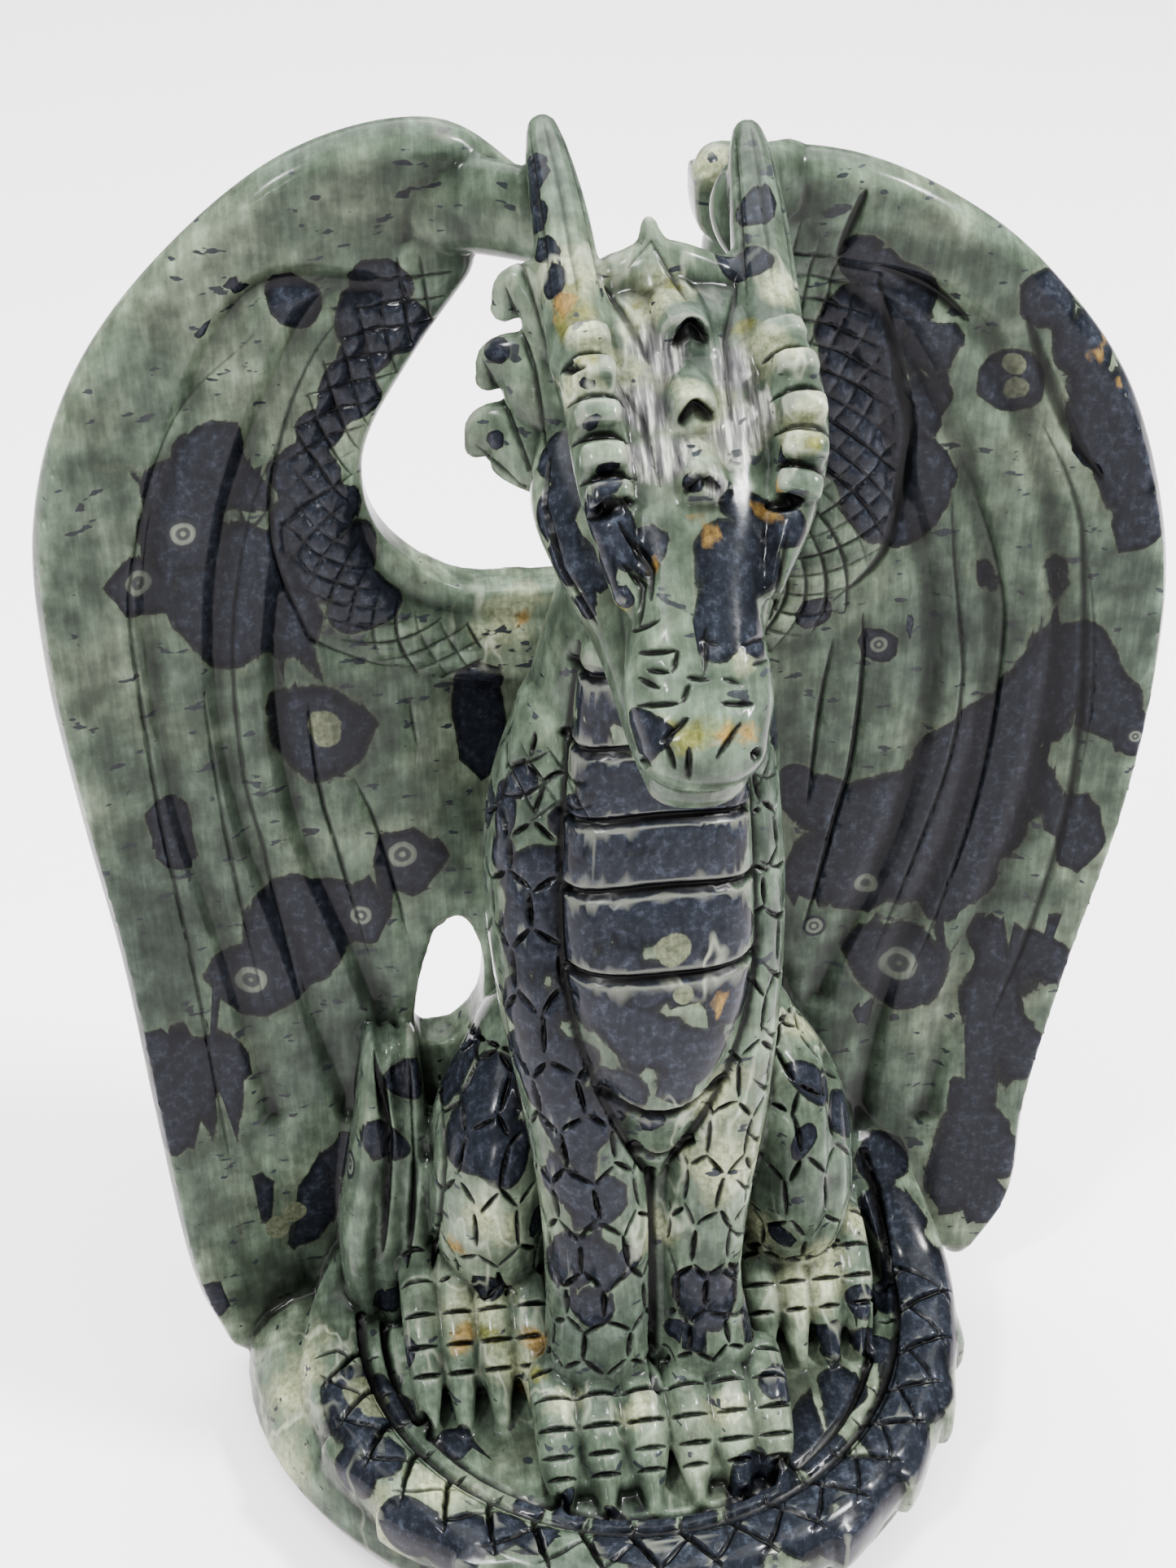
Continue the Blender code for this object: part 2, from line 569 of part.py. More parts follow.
def strokes(skin_tree):
    """Carved lines as (points on the skin, half width, depth)."""
    lines = []

    def add(points, wide, deep, direction):
        """Projects points along a direction onto the skin."""
        found = []
        for point in points:
            hit = skin_tree.ray_cast((Vector(point) - direction * 60) * MM, direction)[0]
            if hit:
                found.append(np.array(hit) / MM)
        if len(found) > 1:
            lines.append((np.array(found), wide, deep))

    forward = Vector((0, 1, 0))
    heights = [row[2] for row in PANEL][::-1]
    for height, rise in PANEL_CUTS:
        half = np.interp(height, heights, [row[3] for row in PANEL][::-1])
        arc = [(half * t - 0.6, -6, height + rise * (1 - t * t), 0, 0) for t in np.linspace(-1, 1, 9)]
        add([p[:3] for p in placed(arc)], CUT_WIDTH / 2, CUT_DEPTH, forward)
    for side in (LEFT, RIGHT):
        edge = [(wide * 1.02 + side * x, y, z, 0, 0) for x, y, z, wide, _ in catmull_rom(PANEL, 4)]
        add([p[:3] for p in placed(edge, side)], CUT_WIDTH / 2, CUT_DEPTH, forward)
        for share in FINGER_SHARES:
            line = [(x, sheet_y(x, z), z) for x, z in wing_points(finger(side, share), side)]
            add(line, FLUTE_WIDTH / 2, FLUTE_DEPTH, forward)
        arm = [(x + ARM_HALF[side] + 0.8, z + (96 - z) * 0.06) for x, z in WING_ARM[side][2:]]
        add([(x, sheet_y(x, z), z) for x, z in wing_points(arm, side)], CUT_WIDTH / 2, CUT_DEPTH, forward)
    slot = [(-1.6, -6, z, 0, 0) for z in np.linspace(38, 9, 9)]
    add([p[:3] for p in placed(slot)], CUT_WIDTH / 2, CUT_DEPTH, forward)
    return lines


def carve(obj, lines):
    """Pushes the skin in along each stroke, deepest in the middle of its width and of its length."""
    mesh = obj.data
    count = len(mesh.vertices)
    at, normal = np.empty(count * 3), np.empty(count * 3)
    mesh.vertices.foreach_get("co", at)
    mesh.vertices.foreach_get("normal", normal)
    at, normal = at.reshape(-1, 3) / MM, normal.reshape(-1, 3)
    depth = np.zeros(count)
    for points, wide, deep in lines:
        low, high = points.min(0) - wide, points.max(0) + wide
        near = np.nonzero(np.all((at > low) & (at < high), axis=1))[0]
        best = np.full(len(near), wide)
        for a, b in zip(points, points[1:]):
            span = b - a
            t = np.clip(((at[near] - a) @ span) / max(span @ span, 1e-9), 0, 1)
            best = np.minimum(best, np.linalg.norm(at[near] - a - t[:, None] * span, axis=1))
        depth[near] = np.maximum(depth[near], deep * np.cos(best / wide * math.pi / 2))
    mesh.vertices.foreach_set("co", ((at - normal * depth[:, None]) * MM).ravel())
    mesh.update()


def polish(obj, steps):
    smooth = obj.modifiers.new("polish", "SMOOTH")
    smooth.factor = 0.5
    smooth.iterations = steps
    baked(obj)


def thin_out(obj, triangles):
    """Fewer triangles, kept where the form turns most."""
    thin = obj.modifiers.new("facets", "DECIMATE")
    thin.ratio = triangles / (2 * len(obj.data.polygons))
    thin.use_collapse_triangulate = True
    baked(obj)


def sawn_flat(obj):
    """The underside is sawn flat at height zero."""
    bm = bmesh.new()
    bm.from_mesh(obj.data)
    every = bm.verts[:] + bm.edges[:] + bm.faces[:]
    sawn = bmesh.ops.bisect_plane(bm, geom=every, plane_co=(0, 0, 0), plane_no=(0, 0, 1), clear_inner=True)
    edges = [item for item in sawn["geom_cut"] if isinstance(item, bmesh.types.BMEdge)]
    bmesh.ops.triangle_fill(bm, edges=edges, use_beauty=True)
    bmesh.ops.recalc_face_normals(bm, faces=bm.faces[:])
    bm.to_mesh(obj.data)
    bm.free()


def jasper():
    material = bpy.data.materials.new("jasper")
    material.use_nodes = True
    shader = material.node_tree.nodes["Principled BSDF"]
    shader.inputs["Base Color"].default_value = (0.13, 0.18, 0.14, 1)
    shader.inputs["Roughness"].default_value = 0.2
    shader.inputs["Metallic"].default_value = 0.0
    return material


def main():
    for obj in list(bpy.data.objects):
        bpy.data.objects.remove(obj)
    carving = fused()
    polish(carving, POLISH_STEPS)
    tree = BVHTree.FromPolygons(
        [v.co for v in carving.data.vertices], [tuple(p.vertices) for p in carving.data.polygons]
    )
    carve(carving, strokes(tree))
    polish(carving, 1)
    thin_out(carving, TRIANGLES)
    sawn_flat(carving)
    carving.data.materials.clear()
    carving.data.materials.append(jasper())
    carving.data.shade_smooth()
    carving.data.set_sharp_from_angle(angle=math.radians(50))


main()
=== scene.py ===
"""Looks of the winged dragon carved from orbicular jasper.

One piece, the polished skin of the carving, follows the CAD solid and carries the carved scales, the plates,
the lines of the wings and the face. Forms are in millimetres, with the origin on the flat underside.
"""

import math

import bmesh
import bpy
import numpy as np
from mathutils import Matrix, Vector
from mathutils.bvhtree import BVHTree


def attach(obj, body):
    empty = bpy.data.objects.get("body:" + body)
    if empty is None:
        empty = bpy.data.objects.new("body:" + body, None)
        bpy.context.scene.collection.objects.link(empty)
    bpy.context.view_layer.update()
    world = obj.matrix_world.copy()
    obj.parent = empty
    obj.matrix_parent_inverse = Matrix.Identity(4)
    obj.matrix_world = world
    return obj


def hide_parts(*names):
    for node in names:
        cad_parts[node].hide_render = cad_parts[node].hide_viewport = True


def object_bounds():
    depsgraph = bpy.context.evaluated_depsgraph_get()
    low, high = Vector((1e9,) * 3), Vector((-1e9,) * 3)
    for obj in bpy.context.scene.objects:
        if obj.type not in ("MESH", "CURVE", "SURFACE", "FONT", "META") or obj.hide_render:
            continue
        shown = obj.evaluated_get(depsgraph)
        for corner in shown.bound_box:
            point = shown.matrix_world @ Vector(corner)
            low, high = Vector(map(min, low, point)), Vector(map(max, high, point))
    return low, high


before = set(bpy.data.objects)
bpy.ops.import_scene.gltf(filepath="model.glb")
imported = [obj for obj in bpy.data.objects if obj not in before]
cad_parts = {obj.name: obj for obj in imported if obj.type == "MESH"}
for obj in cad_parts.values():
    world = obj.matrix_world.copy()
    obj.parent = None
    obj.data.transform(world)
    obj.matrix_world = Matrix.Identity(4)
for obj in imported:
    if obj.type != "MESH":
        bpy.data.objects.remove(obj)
CAD_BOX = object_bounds()

SEED = 7

# The photograph's camera
PHOTO_SIZE = (1445, 1927)
FOCAL_PIXELS = 2754.0
CAMERA_AT = Vector((-0.0326, -0.201, 0.250))
CAMERA_TURN = math.radians(7.7)
CAMERA_DROP = math.radians(36)
CAMERA_WAY = Vector((
    math.sin(CAMERA_TURN) * math.cos(CAMERA_DROP),
    math.cos(CAMERA_TURN) * math.cos(CAMERA_DROP),
    -math.sin(CAMERA_DROP),
))
CAMERA_RIGHT = Vector((math.cos(CAMERA_TURN), -math.sin(CAMERA_TURN), 0))
CAMERA_UP = CAMERA_RIGHT.cross(CAMERA_WAY)

MM = 0.001

# Driving sizes
FIGURE_HEIGHT = 157.0
PLATFORM_TOP = 13.0
PLATFORM_RADIUS = 33.0
RING_WIDTH = 2.6
RING_HEIGHT = 1.5
TAIL_WIDTH = 9.4
TAIL_HEIGHT = 9.6
BASE_MARGIN = -1.5
BASE_LEAN = 9.5
WING_THICKNESS = 5.6
RIM_THICKNESS = 5.6
FLUTE_WIDTH = 5.6
FLUTE_DEPTH = 0.8

# Surface fineness
DETAIL = 2
VOXEL = 0.42
POLISH_STEPS = 8
TRIANGLES = 190000

# The figure's own points are shares of its height above the platform, written for this height
MODEL_HEIGHT = 157.0
UNIT = FIGURE_HEIGHT / MODEL_HEIGHT
# The body sits this far to the viewer's right of the platform's middle
BODY_OFFSET = 2.5 * UNIT

# The tail lies against the ring, a little below the platform's top
TAIL_OVERLAP = 0.6
TAIL_SINK = 1.5
TAIL_RADIUS = PLATFORM_RADIUS + RING_WIDTH + TAIL_WIDTH / 2 - TAIL_OVERLAP
TAIL_LEVEL = PLATFORM_TOP - TAIL_SINK
TAIL_ROOT_DEGREES = 5
TAIL_END_DEGREES = -176
TAIL_STEP_DEGREES = 15
# Where the tail leaves the back and where it ends: shares of its radius right and back, then height above
# its level, half width and half depth
TAIL_START = ((0.2, 0.53, 36, 9, 8), (0.555, 0.53, 28, 7.5, 7), (0.83, 0.415, 15, 5.9, 6))
TAIL_FINISH = ((-0.962, 0.151, 1.5, 4.2, 4.6), (-0.874, 0.277, 6, 3.5, 4.3))
# How far the tail is raised where it comes down onto the base, and over how many degrees
TAIL_RISE = 4.5
TAIL_RISE_DEGREES = 16
# Outer plates of the tail: degrees between them, and (degrees back, outward, half width) along each
PLATE_DEGREES = 16
PLATE = ((3, -2.9, 1.6), (-4, -2.1, 1.9), (-10, -1.3, 2.0), (-14.5, -0.7, 1.9))
PLATE_HALF_HEIGHT = 3.8
PLATE_SINK = 0.4
LEFT, RIGHT = -1, 1
FRONT, UP = Vector((0, -1, 0)), Vector((0, 0, 1))
CROWN = Vector((0, -0.62, 0.78))

# How far back the middle of the wings lies at each height above the platform, and how far their edges
# cup forward
SHEET_DEPTH = ((-18, 14), (10, 18), (37, 22), (77, 28), (112, 31), (137, 30), (159, 26))
SHEET_CUP = 9.0
SHEET_HALF_WIDTH = 66.0

# A wing's outline from the horn over the top and down to the tip: distance from the centre line, and height
WING_RIM = {
    LEFT: (
        (11, 148), (20, 154.5), (34, 152), (48, 141.5), (58, 129), (63.5, 114), (64.5, 97),
        (63, 77), (60.5, 55), (59, 32), (57, 7), (53.5, -6),
    ),
    RIGHT: (
        (14, 150), (28, 148.5), (40, 143), (50, 135), (60, 122), (66, 104), (67, 87),
        (65, 67), (60, 44), (56, 22), (55, 7), (50.5, -3),
    ),
}
# The arm that carries a wing, from the shoulder round the opening to the top, and its half width
WING_ARM = {
    LEFT: ((5, 90), (17, 92), (27, 96.5), (33, 108), (31.5, 121), (25.5, 132), (18.5, 142)),
    RIGHT: ((5, 92), (15, 93), (24, 96.5), (29, 106), (28.4, 119), (24.5, 131), (17, 142)),
}
ARM_HALF = {LEFT: 4.8, RIGHT: 6.6}
# Spacing of the sheet's own points, and how far it reaches past the wings before it is cut to them
SHEET_STEP = 2.5
SHEET_MARGIN = 4
SHEET_MARGIN_ABOVE = 2
SHEET_LOWEST = -3
# How far in front of the middle and behind it the sheet's cutters reach
CUTTER_REACH = (-40, 90)
# The rim's tube: how far inside the outline it runs, and its half width
RIM_INSET = 1.4
RIM_HALF = 2.4
# How far an arm stands proud of the sheet
ARM_RISE = 1.2
# A finger's tube on the back: its half width and half depth, and how far it is sunk into the sheet
FINGER_BACK = (2.6, 2.2, 1.3)
# The edge of the opening between a wing and the neck, from the back of the horn down to the shoulder
OPENING = {
    LEFT: (
        (9, 160), (10, 144), (15, 141.5), (19.5, 138), (23, 129), (27.5, 118), (26, 108), (18, 100.5),
        (8, 99),
    ),
    RIGHT: (
        (9, 160), (10, 144), (14, 141.5), (18, 137), (20, 128), (21.5, 118), (20, 109), (15, 102), (8, 99),
    ),
}
# The bridge from a wing's top to the back of the horn
WING_JOIN = {
    LEFT: ((21.5, 27, 147, 5, 3), (16, 24, 148, 5.4, 3), (9.5, 18, 148.5, 5, 2.6)),
    RIGHT: ((17, 27, 148, 4.6, 3), (13, 23, 148.6, 4.8, 2.8), (10, 17, 147.5, 5, 2.6)),
}
# The small opening between the left wing and the flank
FLANK_OPENING = ((22.5, 53), (19, 54.5), (16.5, 49), (17, 41), (21, 36.5), (25.5, 37.5), (25, 45))
# Each finger runs from the wing's top to its lower edge, at these shares of the way from the arm to the rim
FINGER_SHARES = (0.2, 0.45, 0.72)
FINGER_ROOT = (23, 138)
# Points of the rim that a finger follows, how far inside the rim it stays, and how far it drops there
FINGER_RIM = slice(3, 10)
FINGER_RIM_GAP = 4
FINGER_DROP = 6
# The side of the wing towards the body: its distance out, how far it bows, and the bow's foot and height
INNER_EDGE = (19, 15, 40, 100)

# Torso, neck and front panel: distance right, distance back, height above the platform, then half width
# and half depth
TORSO = (
    (0, 13, 0, 18, 15), (0, 10, 20, 18, 15), (0, 6, 38, 16.5, 15), (0, 5, 56, 16, 14.8),
    (0, 6.5, 74, 15.5, 13.5), (0, 8, 88, 15.5, 12.5), (0, 8, 100, 13, 11.5), (0, 5.5, 112, 10.2, 11),
    (0, 3, 124, 9.5, 10.5), (0, 3, 133, 9, 9),
)
SPINE = (
    (0, 24, -4, 13, 7), (0, 23, 25, 12, 8), (0, 22, 55, 11, 8), (0, 20, 80, 10, 7.5),
    (0, 17, 97, 8, 7), (0, 13, 112, 6.5, 6), (0, 11, 126, 5.5, 5.5), (0, 9, 138, 5, 5),
)
PANEL = (
    (0, -1, 108, 8.8, 4.5), (-0.3, -1.7, 94, 10, 4.8), (-0.6, -4, 80, 11, 5.4),
    (-0.6, -6, 70, 11, 6.2), (-0.7, -7.2, 62, 9.8, 6.4), (-0.8, -7.8, 54, 7.4, 6),
    (-0.9, -7.8, 46, 4.2, 5), (-1, -7.4, 39, 1.4, 3.4),
)
# Heights of the cuts across the front panel, and how far each cut's middle rises
PANEL_CUTS = ((105.5, 1.5), (96.5, 1.5), (88, 1.5), (79.6, 1.5), (70, 0.5), (53.7, -3.5), (44, -2.5))
FRONT_LEG = {
    LEFT: (
        (9.5, 7, 94, 6, 7), (11.5, 5, 84, 7.4, 8), (11.8, 2.5, 73, 8, 8.8), (11, -2, 60, 7.8, 8.6),
        (9.8, -5.5, 47, 6.9, 7.6), (8.4, -8.5, 34, 6.8, 6.8), (7.9, -11, 21, 6.9, 6.2), (8.2, -13, 10, 7, 6),
    ),
    RIGHT: (
        (8, 7, 94, 5.6, 7), (9, 5, 84, 6, 8), (9.4, 2.5, 73, 6.2, 8.8), (9, -2, 60, 5.8, 8.6),
        (7.6, -5.5, 47, 5.7, 7.6), (5.8, -8.5, 34, 5.4, 6.8), (4.8, -11, 21, 5.2, 6.2), (5.6, -13, 10, 6, 6),
    ),
}
# The web of stone between the front legs, set back from their fronts
LEG_WEB = ((-1, 0, 40, 6, 8), (-1.6, -5, 28, 4, 7), (-1.8, -9, 12, 4, 7))
# How square a leg, a toe and the tail are in section, 2 being round
LEG_SQUARE = 2.3
TAIL_SQUARE = 2.4
FRONT_TOE = (
    (0, -15, 7.4, 2.7, 3), (0, -21, 6.2, 2.75, 3.3), (0, -26, 3.2, 2.4, 2.9), (0, -30.6, 0.3, 0.9, 1.3),
)
FRONT_TOE_PLACES = {LEFT: (3.6, 9.4, 15), RIGHT: (2, 7.4, 12.4)}
THIGH = (
    (16, 14, 39, 5.5, 8), (19.2, 9, 31, 7.6, 11), (20.2, 6, 21, 8, 11.5), (20, 6, 12, 7.6, 10),
)
HIND_TOE = ((0, 4, 10.5, 2.6, 3.6), (0, -3, 9.3, 2.6, 3.6), (0, -9, 5.8, 2.4, 3.4), (0, -15.2, 1.2, 1.2, 1.9))
HIND_TOE_PLACES = {LEFT: (16.3, 21.1, 25.9, 30.4), RIGHT: (14.5, 18.9, 23.3, 27.6)}
# How far a hind foot is set back from the places above
HIND_FOOT_BACK = {LEFT: 0, RIGHT: 4.5}
# The sole below a foot's toes: half depth, distance below the toes, and how far it passes the outer toes
FOOT_DEPTH = 3.6
FOOT_DROP = 3.2
FOOT_SPREAD = 1.2

# Head, from the crown forward and down to the nose
SKULL = (
    (0.2, 9, 142, 9, 7), (0.5, 0, 139.5, 9.6, 7.2), (0.6, -7.5, 135, 9.2, 6.6), (0.2, -14.5, 130.3, 8.2, 6.2),
    (-0.7, -21.8, 124.5, 6.6, 5.6), (-1.1, -28, 119.2, 7.1, 5.3), (-1.3, -32, 116, 6.1, 4.9),
)
JAW = (
    (0, 6, 131, 11, 6.5), (-0.7, -3, 128, 13.5, 6.5), (-0.9, -10, 124, 11.8, 6), (-1.1, -17.5, 118.5, 8.3, 5),
    (-1.3, -25, 113.5, 6.3, 4), (-1.4, -30, 111.2, 5, 3.4),
)
BROW = {
    LEFT: (
        (8.6, -2, 143.5, 3, 3.4), (8.6, -8.5, 141, 2.9, 3.4), (8.6, -13.5, 137.2, 2.7, 3.3),
        (8.2, -18, 132.8, 2.2, 2.8), (7.6, -22, 128, 1.2, 2),
    ),
    RIGHT: (
        (10.2, -2, 143.2, 3, 3.4), (11, -8.5, 140.5, 2.9, 3.3), (10.8, -13.5, 136.8, 2.7, 3.2),
        (9.2, -18, 132.6, 2.2, 2.8), (7, -22, 128, 1.2, 2),
    ),
}
HORN = {
    LEFT: (
        (8.8, -4, 142.5, 3.4, 3.6), (9.0, 4, 147, 3.2, 3.4), (9.2, 12, 151.5, 2.9, 3.1),
        (9.5, 19, 154.8, 2.3, 2.5), (9.6, 22.4, 156.4, 1.7, 1.7),
    ),
    RIGHT: (
        (9.8, -4, 142, 3.4, 3.6), (10.4, 4, 146.5, 3.2, 3.4), (11, 12, 150.6, 2.9, 3.1),
        (11.4, 18.5, 153.8, 2.3, 2.5), (11.6, 21.4, 155.2, 1.7, 1.7),
    ),
}
CREST = (
    (-10, 5, 144, 4.0, 2.2), (-5, 4.5, 145, 4.4, 2.2), (-0.5, 4, 147, 4.6, 2.4),
    (5, 4.5, 145, 4.4, 2.2), (10, 5, 144, 4, 2.2),
)
CREST_SPIKE = ((-0.4, 1, 143, 3.6, 3.2), (-0.8, 3.2, 148.5, 2.4, 2), (-1.2, 5.4, 152.6, 0.9, 1))
# Steps of the ridge down the forehead: distance back and height of each end, and half width
SCUTES = (
    ((3, 146.4), (-6, 145.3), 2.6),
    ((-7.2, 141.6), (-12.8, 140.4), 2.2),
    ((-13.8, 136.8), (-18.8, 135.4), 2.1),
)
# Blocks along a brow: how many, and their half length, half width and half height
BROW_BLOCKS = 5
BROW_BLOCK = (1.05, 2.3, 1.5)
# Height and reach of each lobe of the mane
MANE_TIPS = {
    LEFT: ((145, 15.6), (137.5, 17.4), (130, 18.8)),
    RIGHT: ((145, 13), (137.5, 12.6), (130, 12.6)),
}
# One lobe: distance out from its reach, distance back, height above its own, half width and half depth
MANE_LOBE = ((-5, 5.5, -0.5, 4.6, 2.6), (-1.8, 7, 0.5, 3.2, 1.7), (0, 7.4, -1.5, 1.4, 1.1))
MANE_ROOT = (7, 2, -3, 3.8, 3.4)
# Strands of the tail's tuft: share of the tail's radius from the middle, and lean to the right
TUFT_STRANDS = ((-0.882, 2.0), (-0.793, 1.2), (-0.705, 0.6))
TUFT_STATIONS = ((0, 7.5, 3, 2.6, 5), (0, 8.5, 15, 2.8, 6), (1, 11.5, 27, 2.5, 6), (1.7, 14.5, 40, 1.5, 4))
# One spike of the back's ridge, from the point it stands on: distance back, height, half width and half depth
SPIKE = ((-2, 1.5, 2, 3), (0.5, 0, 1.4, 2), (2.2, -1.6, 0.7, 1))
# The rock's outline from underside to top: shares of its reach and of the platform's height
BASE_PROFILE = (
    (0.93, -0.15), (0.97, 0.08), (1.0, 0.35), (0.98, 0.62), (0.93, 0.85), (0.87, 0.97), (0.8, 1.0),
)
BASE_LEAN_DEGREES = 165
# How narrowly the rock leans out, and degrees between its points and between the ring's
BASE_LEAN_POWER = 3
BASE_STEP_DEGREES = 5
RING_STEP_DEGREES = 6


def catmull_rom(points, steps):
    """Points along a smooth curve through the given points, which may have any number of coordinates."""
    p = np.array(points, float)
    p = np.vstack([2 * p[0] - p[1], p, 2 * p[-1] - p[-2]])
    t = np.linspace(0, 1, steps, endpoint=False)[:, None]
    spans = []
    for a, b, c, d in zip(p, p[1:], p[2:], p[3:]):
        spans.append(
            0.5 * (2 * b + (c - a) * t + (2 * a - 5 * b + 4 * c - d) * t**2 + (3 * b - a - 3 * c + d) * t**3)
        )
    return np.vstack(spans + [p[-2:-1]])


def frames(stations, facing, steps):
    """Frames along a limb, as (centre, along, side, depth, half width, half depth)."""
    rows = catmull_rom(stations, steps if steps == 1 else steps * DETAIL)
    centres = [Vector(row[:3]) for row in rows]
    limb = []
    for i, row in enumerate(rows):
        along = (centres[min(i + 1, len(centres) - 1)] - centres[max(i - 1, 0)]).normalized()
        depth = (Vector(facing) - along * along.dot(facing)).normalized()
        limb.append((centres[i], along, along.cross(depth), depth, row[3], row[4]))
    return limb


def tube(bm, stations, facing=FRONT, steps=5, around=20, square=2.0, ends=(1.0, 1.0)):
    """Adds a closed limb. A station is (x, y, z, half width, half depth), half depth being along facing.

    square is the section's superellipse power, and ends are the lengths of the rounded caps in half depths.
    """
    limb = frames(stations, facing, steps)
    section = []
    for i in range(around * DETAIL):
        angle = 2 * math.pi * i / (around * DETAIL)
        c, s = math.cos(angle), math.sin(angle)
        section.append((math.copysign(abs(c) ** (2 / square), c), math.copysign(abs(s) ** (2 / square), s)))

    def ring(at, shift=0.0, share=1.0):
        centre, along, side, depth, wide, deep = at
        middle = centre + along * (shift * deep)
        side, depth = side * (wide * share), depth * (deep * share)
        return [bm.verts.new((middle + side * c + depth * s) * MM) for c, s in section]

    def tip(at, length):
        return bm.verts.new((at[0] + at[1] * (length * at[5])) * MM)

    turns = [math.radians(30 * k / DETAIL) for k in range(1, 3 * DETAIL)]
    first = tip(limb[0], -ends[0])
    rings = [ring(limb[0], -math.sin(t) * ends[0], math.cos(t)) for t in turns[::-1]]
    rings += [ring(at) for at in limb]
    rings += [ring(limb[-1], math.sin(t) * ends[1], math.cos(t)) for t in turns]
    skin(bm, first, rings, tip(limb[-1], ends[1]))


def skin(bm, first, rings, last):
    """Faces that join rings of vertices in order, closed by one vertex at each end."""
    for k in range(len(rings[0])):
        n = (k + 1) % len(rings[0])
        for a, b in zip(rings, rings[1:]):
            bm.faces.new((a[k], a[n], b[n], b[k]))
        bm.faces.new((first, rings[0][n], rings[0][k]))
        bm.faces.new((last, rings[-1][k], rings[-1][n]))


def placed(stations, side=RIGHT):
    """Stations given from the body's centre line and the platform's top, in the carving's own frame."""
    return [
        (BODY_OFFSET + side * x * UNIT, y * UNIT, PLATFORM_TOP + z * UNIT, wide * UNIT, deep * UNIT)
        for x, y, z, wide, deep in stations
    ]


def sheet_y(x, z):
    """How far back the middle of the wing sheet lies, with z from the underside."""
    table = catmull_rom(SHEET_DEPTH, 6)
    depth = np.interp((z - PLATFORM_TOP) / UNIT, table[:, 0], table[:, 1])
    return (depth - SHEET_CUP * (x / UNIT / SHEET_HALF_WIDTH) ** 2) * UNIT


def wing_points(points, side, steps=4):
    """A smooth (x, z) curve on one wing, from points given as distance out and height above the platform."""
    return [(side * x * UNIT, PLATFORM_TOP + z * UNIT) for x, z in catmull_rom(points, steps * DETAIL)]


def wing_curve(points, side, wide, deep, offset=0.0):
    """Stations of a tube that follows a curve on one wing."""
    return [(x, sheet_y(x, z) + offset, z, wide, deep) for x, z in wing_points(points, side)]


def finger(side, share):
    """The line of one wing finger, from the arm's top down, at its share of the way out to the rim."""
    points = [FINGER_ROOT]
    least, bow, foot_height, height = INNER_EDGE
    for x, z in WING_RIM[side][FINGER_RIM]:
        inner = least + bow * math.sin(math.pi * min(max((z - foot_height) / height, 0), 1))
        points.append((inner + (x - FINGER_RIM_GAP - inner) * share, z - FINGER_DROP * (1 - share)))
    return points


def new_object(name, bm):
    mesh = bpy.data.meshes.new(name)
    bm.to_mesh(mesh)
    bm.free()
    obj = bpy.data.objects.new(name, mesh)
    bpy.context.scene.collection.objects.link(obj)
    return obj


def baked(obj):
    """The object with its modifiers applied."""
    graph = bpy.context.evaluated_depsgraph_get()
    mesh = bpy.data.meshes.new_from_object(obj.evaluated_get(graph))
    obj.modifiers.clear()
    obj.data = mesh
    return obj


def prism(outline, low, high):
    """An object: the (x, z) outline extruded along Y from low to high."""
    bm = bmesh.new()
    bm.faces.new([bm.verts.new((x * MM, low * MM, z * MM)) for x, z in outline])
    grown = bmesh.ops.extrude_face_region(bm, geom=bm.faces[:])["geom"]
    moved = [item for item in grown if isinstance(item, bmesh.types.BMVert)]
    bmesh.ops.translate(bm, vec=(0, (high - low) * MM, 0), verts=moved)
    bmesh.ops.recalc_face_normals(bm, faces=bm.faces[:])
    return new_object("prism", bm)


def cut(obj, cutter, operation):
    modifier = obj.modifiers.new(operation.lower(), "BOOLEAN")
    modifier.operation = operation
    modifier.object = cutter
    baked(obj)
    bpy.data.objects.remove(cutter)


def wing_sheet():
    """Both wings in one curved sheet, cut to their outline and pierced beside the neck and the left flank."""
    step = SHEET_STEP / DETAIL
    half = (SHEET_HALF_WIDTH + SHEET_MARGIN) * UNIT
    top = PLATFORM_TOP + (MODEL_HEIGHT + SHEET_MARGIN_ABOVE) * UNIT
    xs = np.arange(-half, half + step, step)
    zs = np.arange(SHEET_LOWEST, top, step)
    bm = bmesh.new()
    grids = []
    for sign in (-1, 1):
        offset = sign * WING_THICKNESS / 2
        rows = [[(x, sheet_y(x, z) + offset, z) for z in zs] for x in xs]
        grids.append([[bm.verts.new(Vector(point) * MM) for point in row] for row in rows])
    for i in range(len(xs) - 1):
        for j in range(len(zs) - 1):
            for grid in grids:
                bm.faces.new((grid[i][j], grid[i + 1][j], grid[i + 1][j + 1], grid[i][j + 1]))
    bmesh.ops.bridge_loops(bm, edges=[edge for edge in bm.edges if edge.is_boundary])
    bmesh.ops.recalc_face_normals(bm, faces=bm.faces[:])
    sheet = new_object("sheet", bm)
    low, high = (reach * UNIT for reach in CUTTER_REACH)
    outline = wing_points(WING_RIM[LEFT], LEFT)[::-1] + wing_points(WING_RIM[RIGHT], RIGHT)
    cut(sheet, prism(outline, low, high), "INTERSECT")
    neck = wing_points(OPENING[RIGHT], RIGHT) + wing_points(OPENING[LEFT], LEFT)[::-1]
    cut(sheet, prism(neck, low, high), "DIFFERENCE")
    flank = wing_points(FLANK_OPENING + FLANK_OPENING[:1], LEFT, 3)[:-1]
    cut(sheet, prism(flank, low, high), "DIFFERENCE")
    return sheet


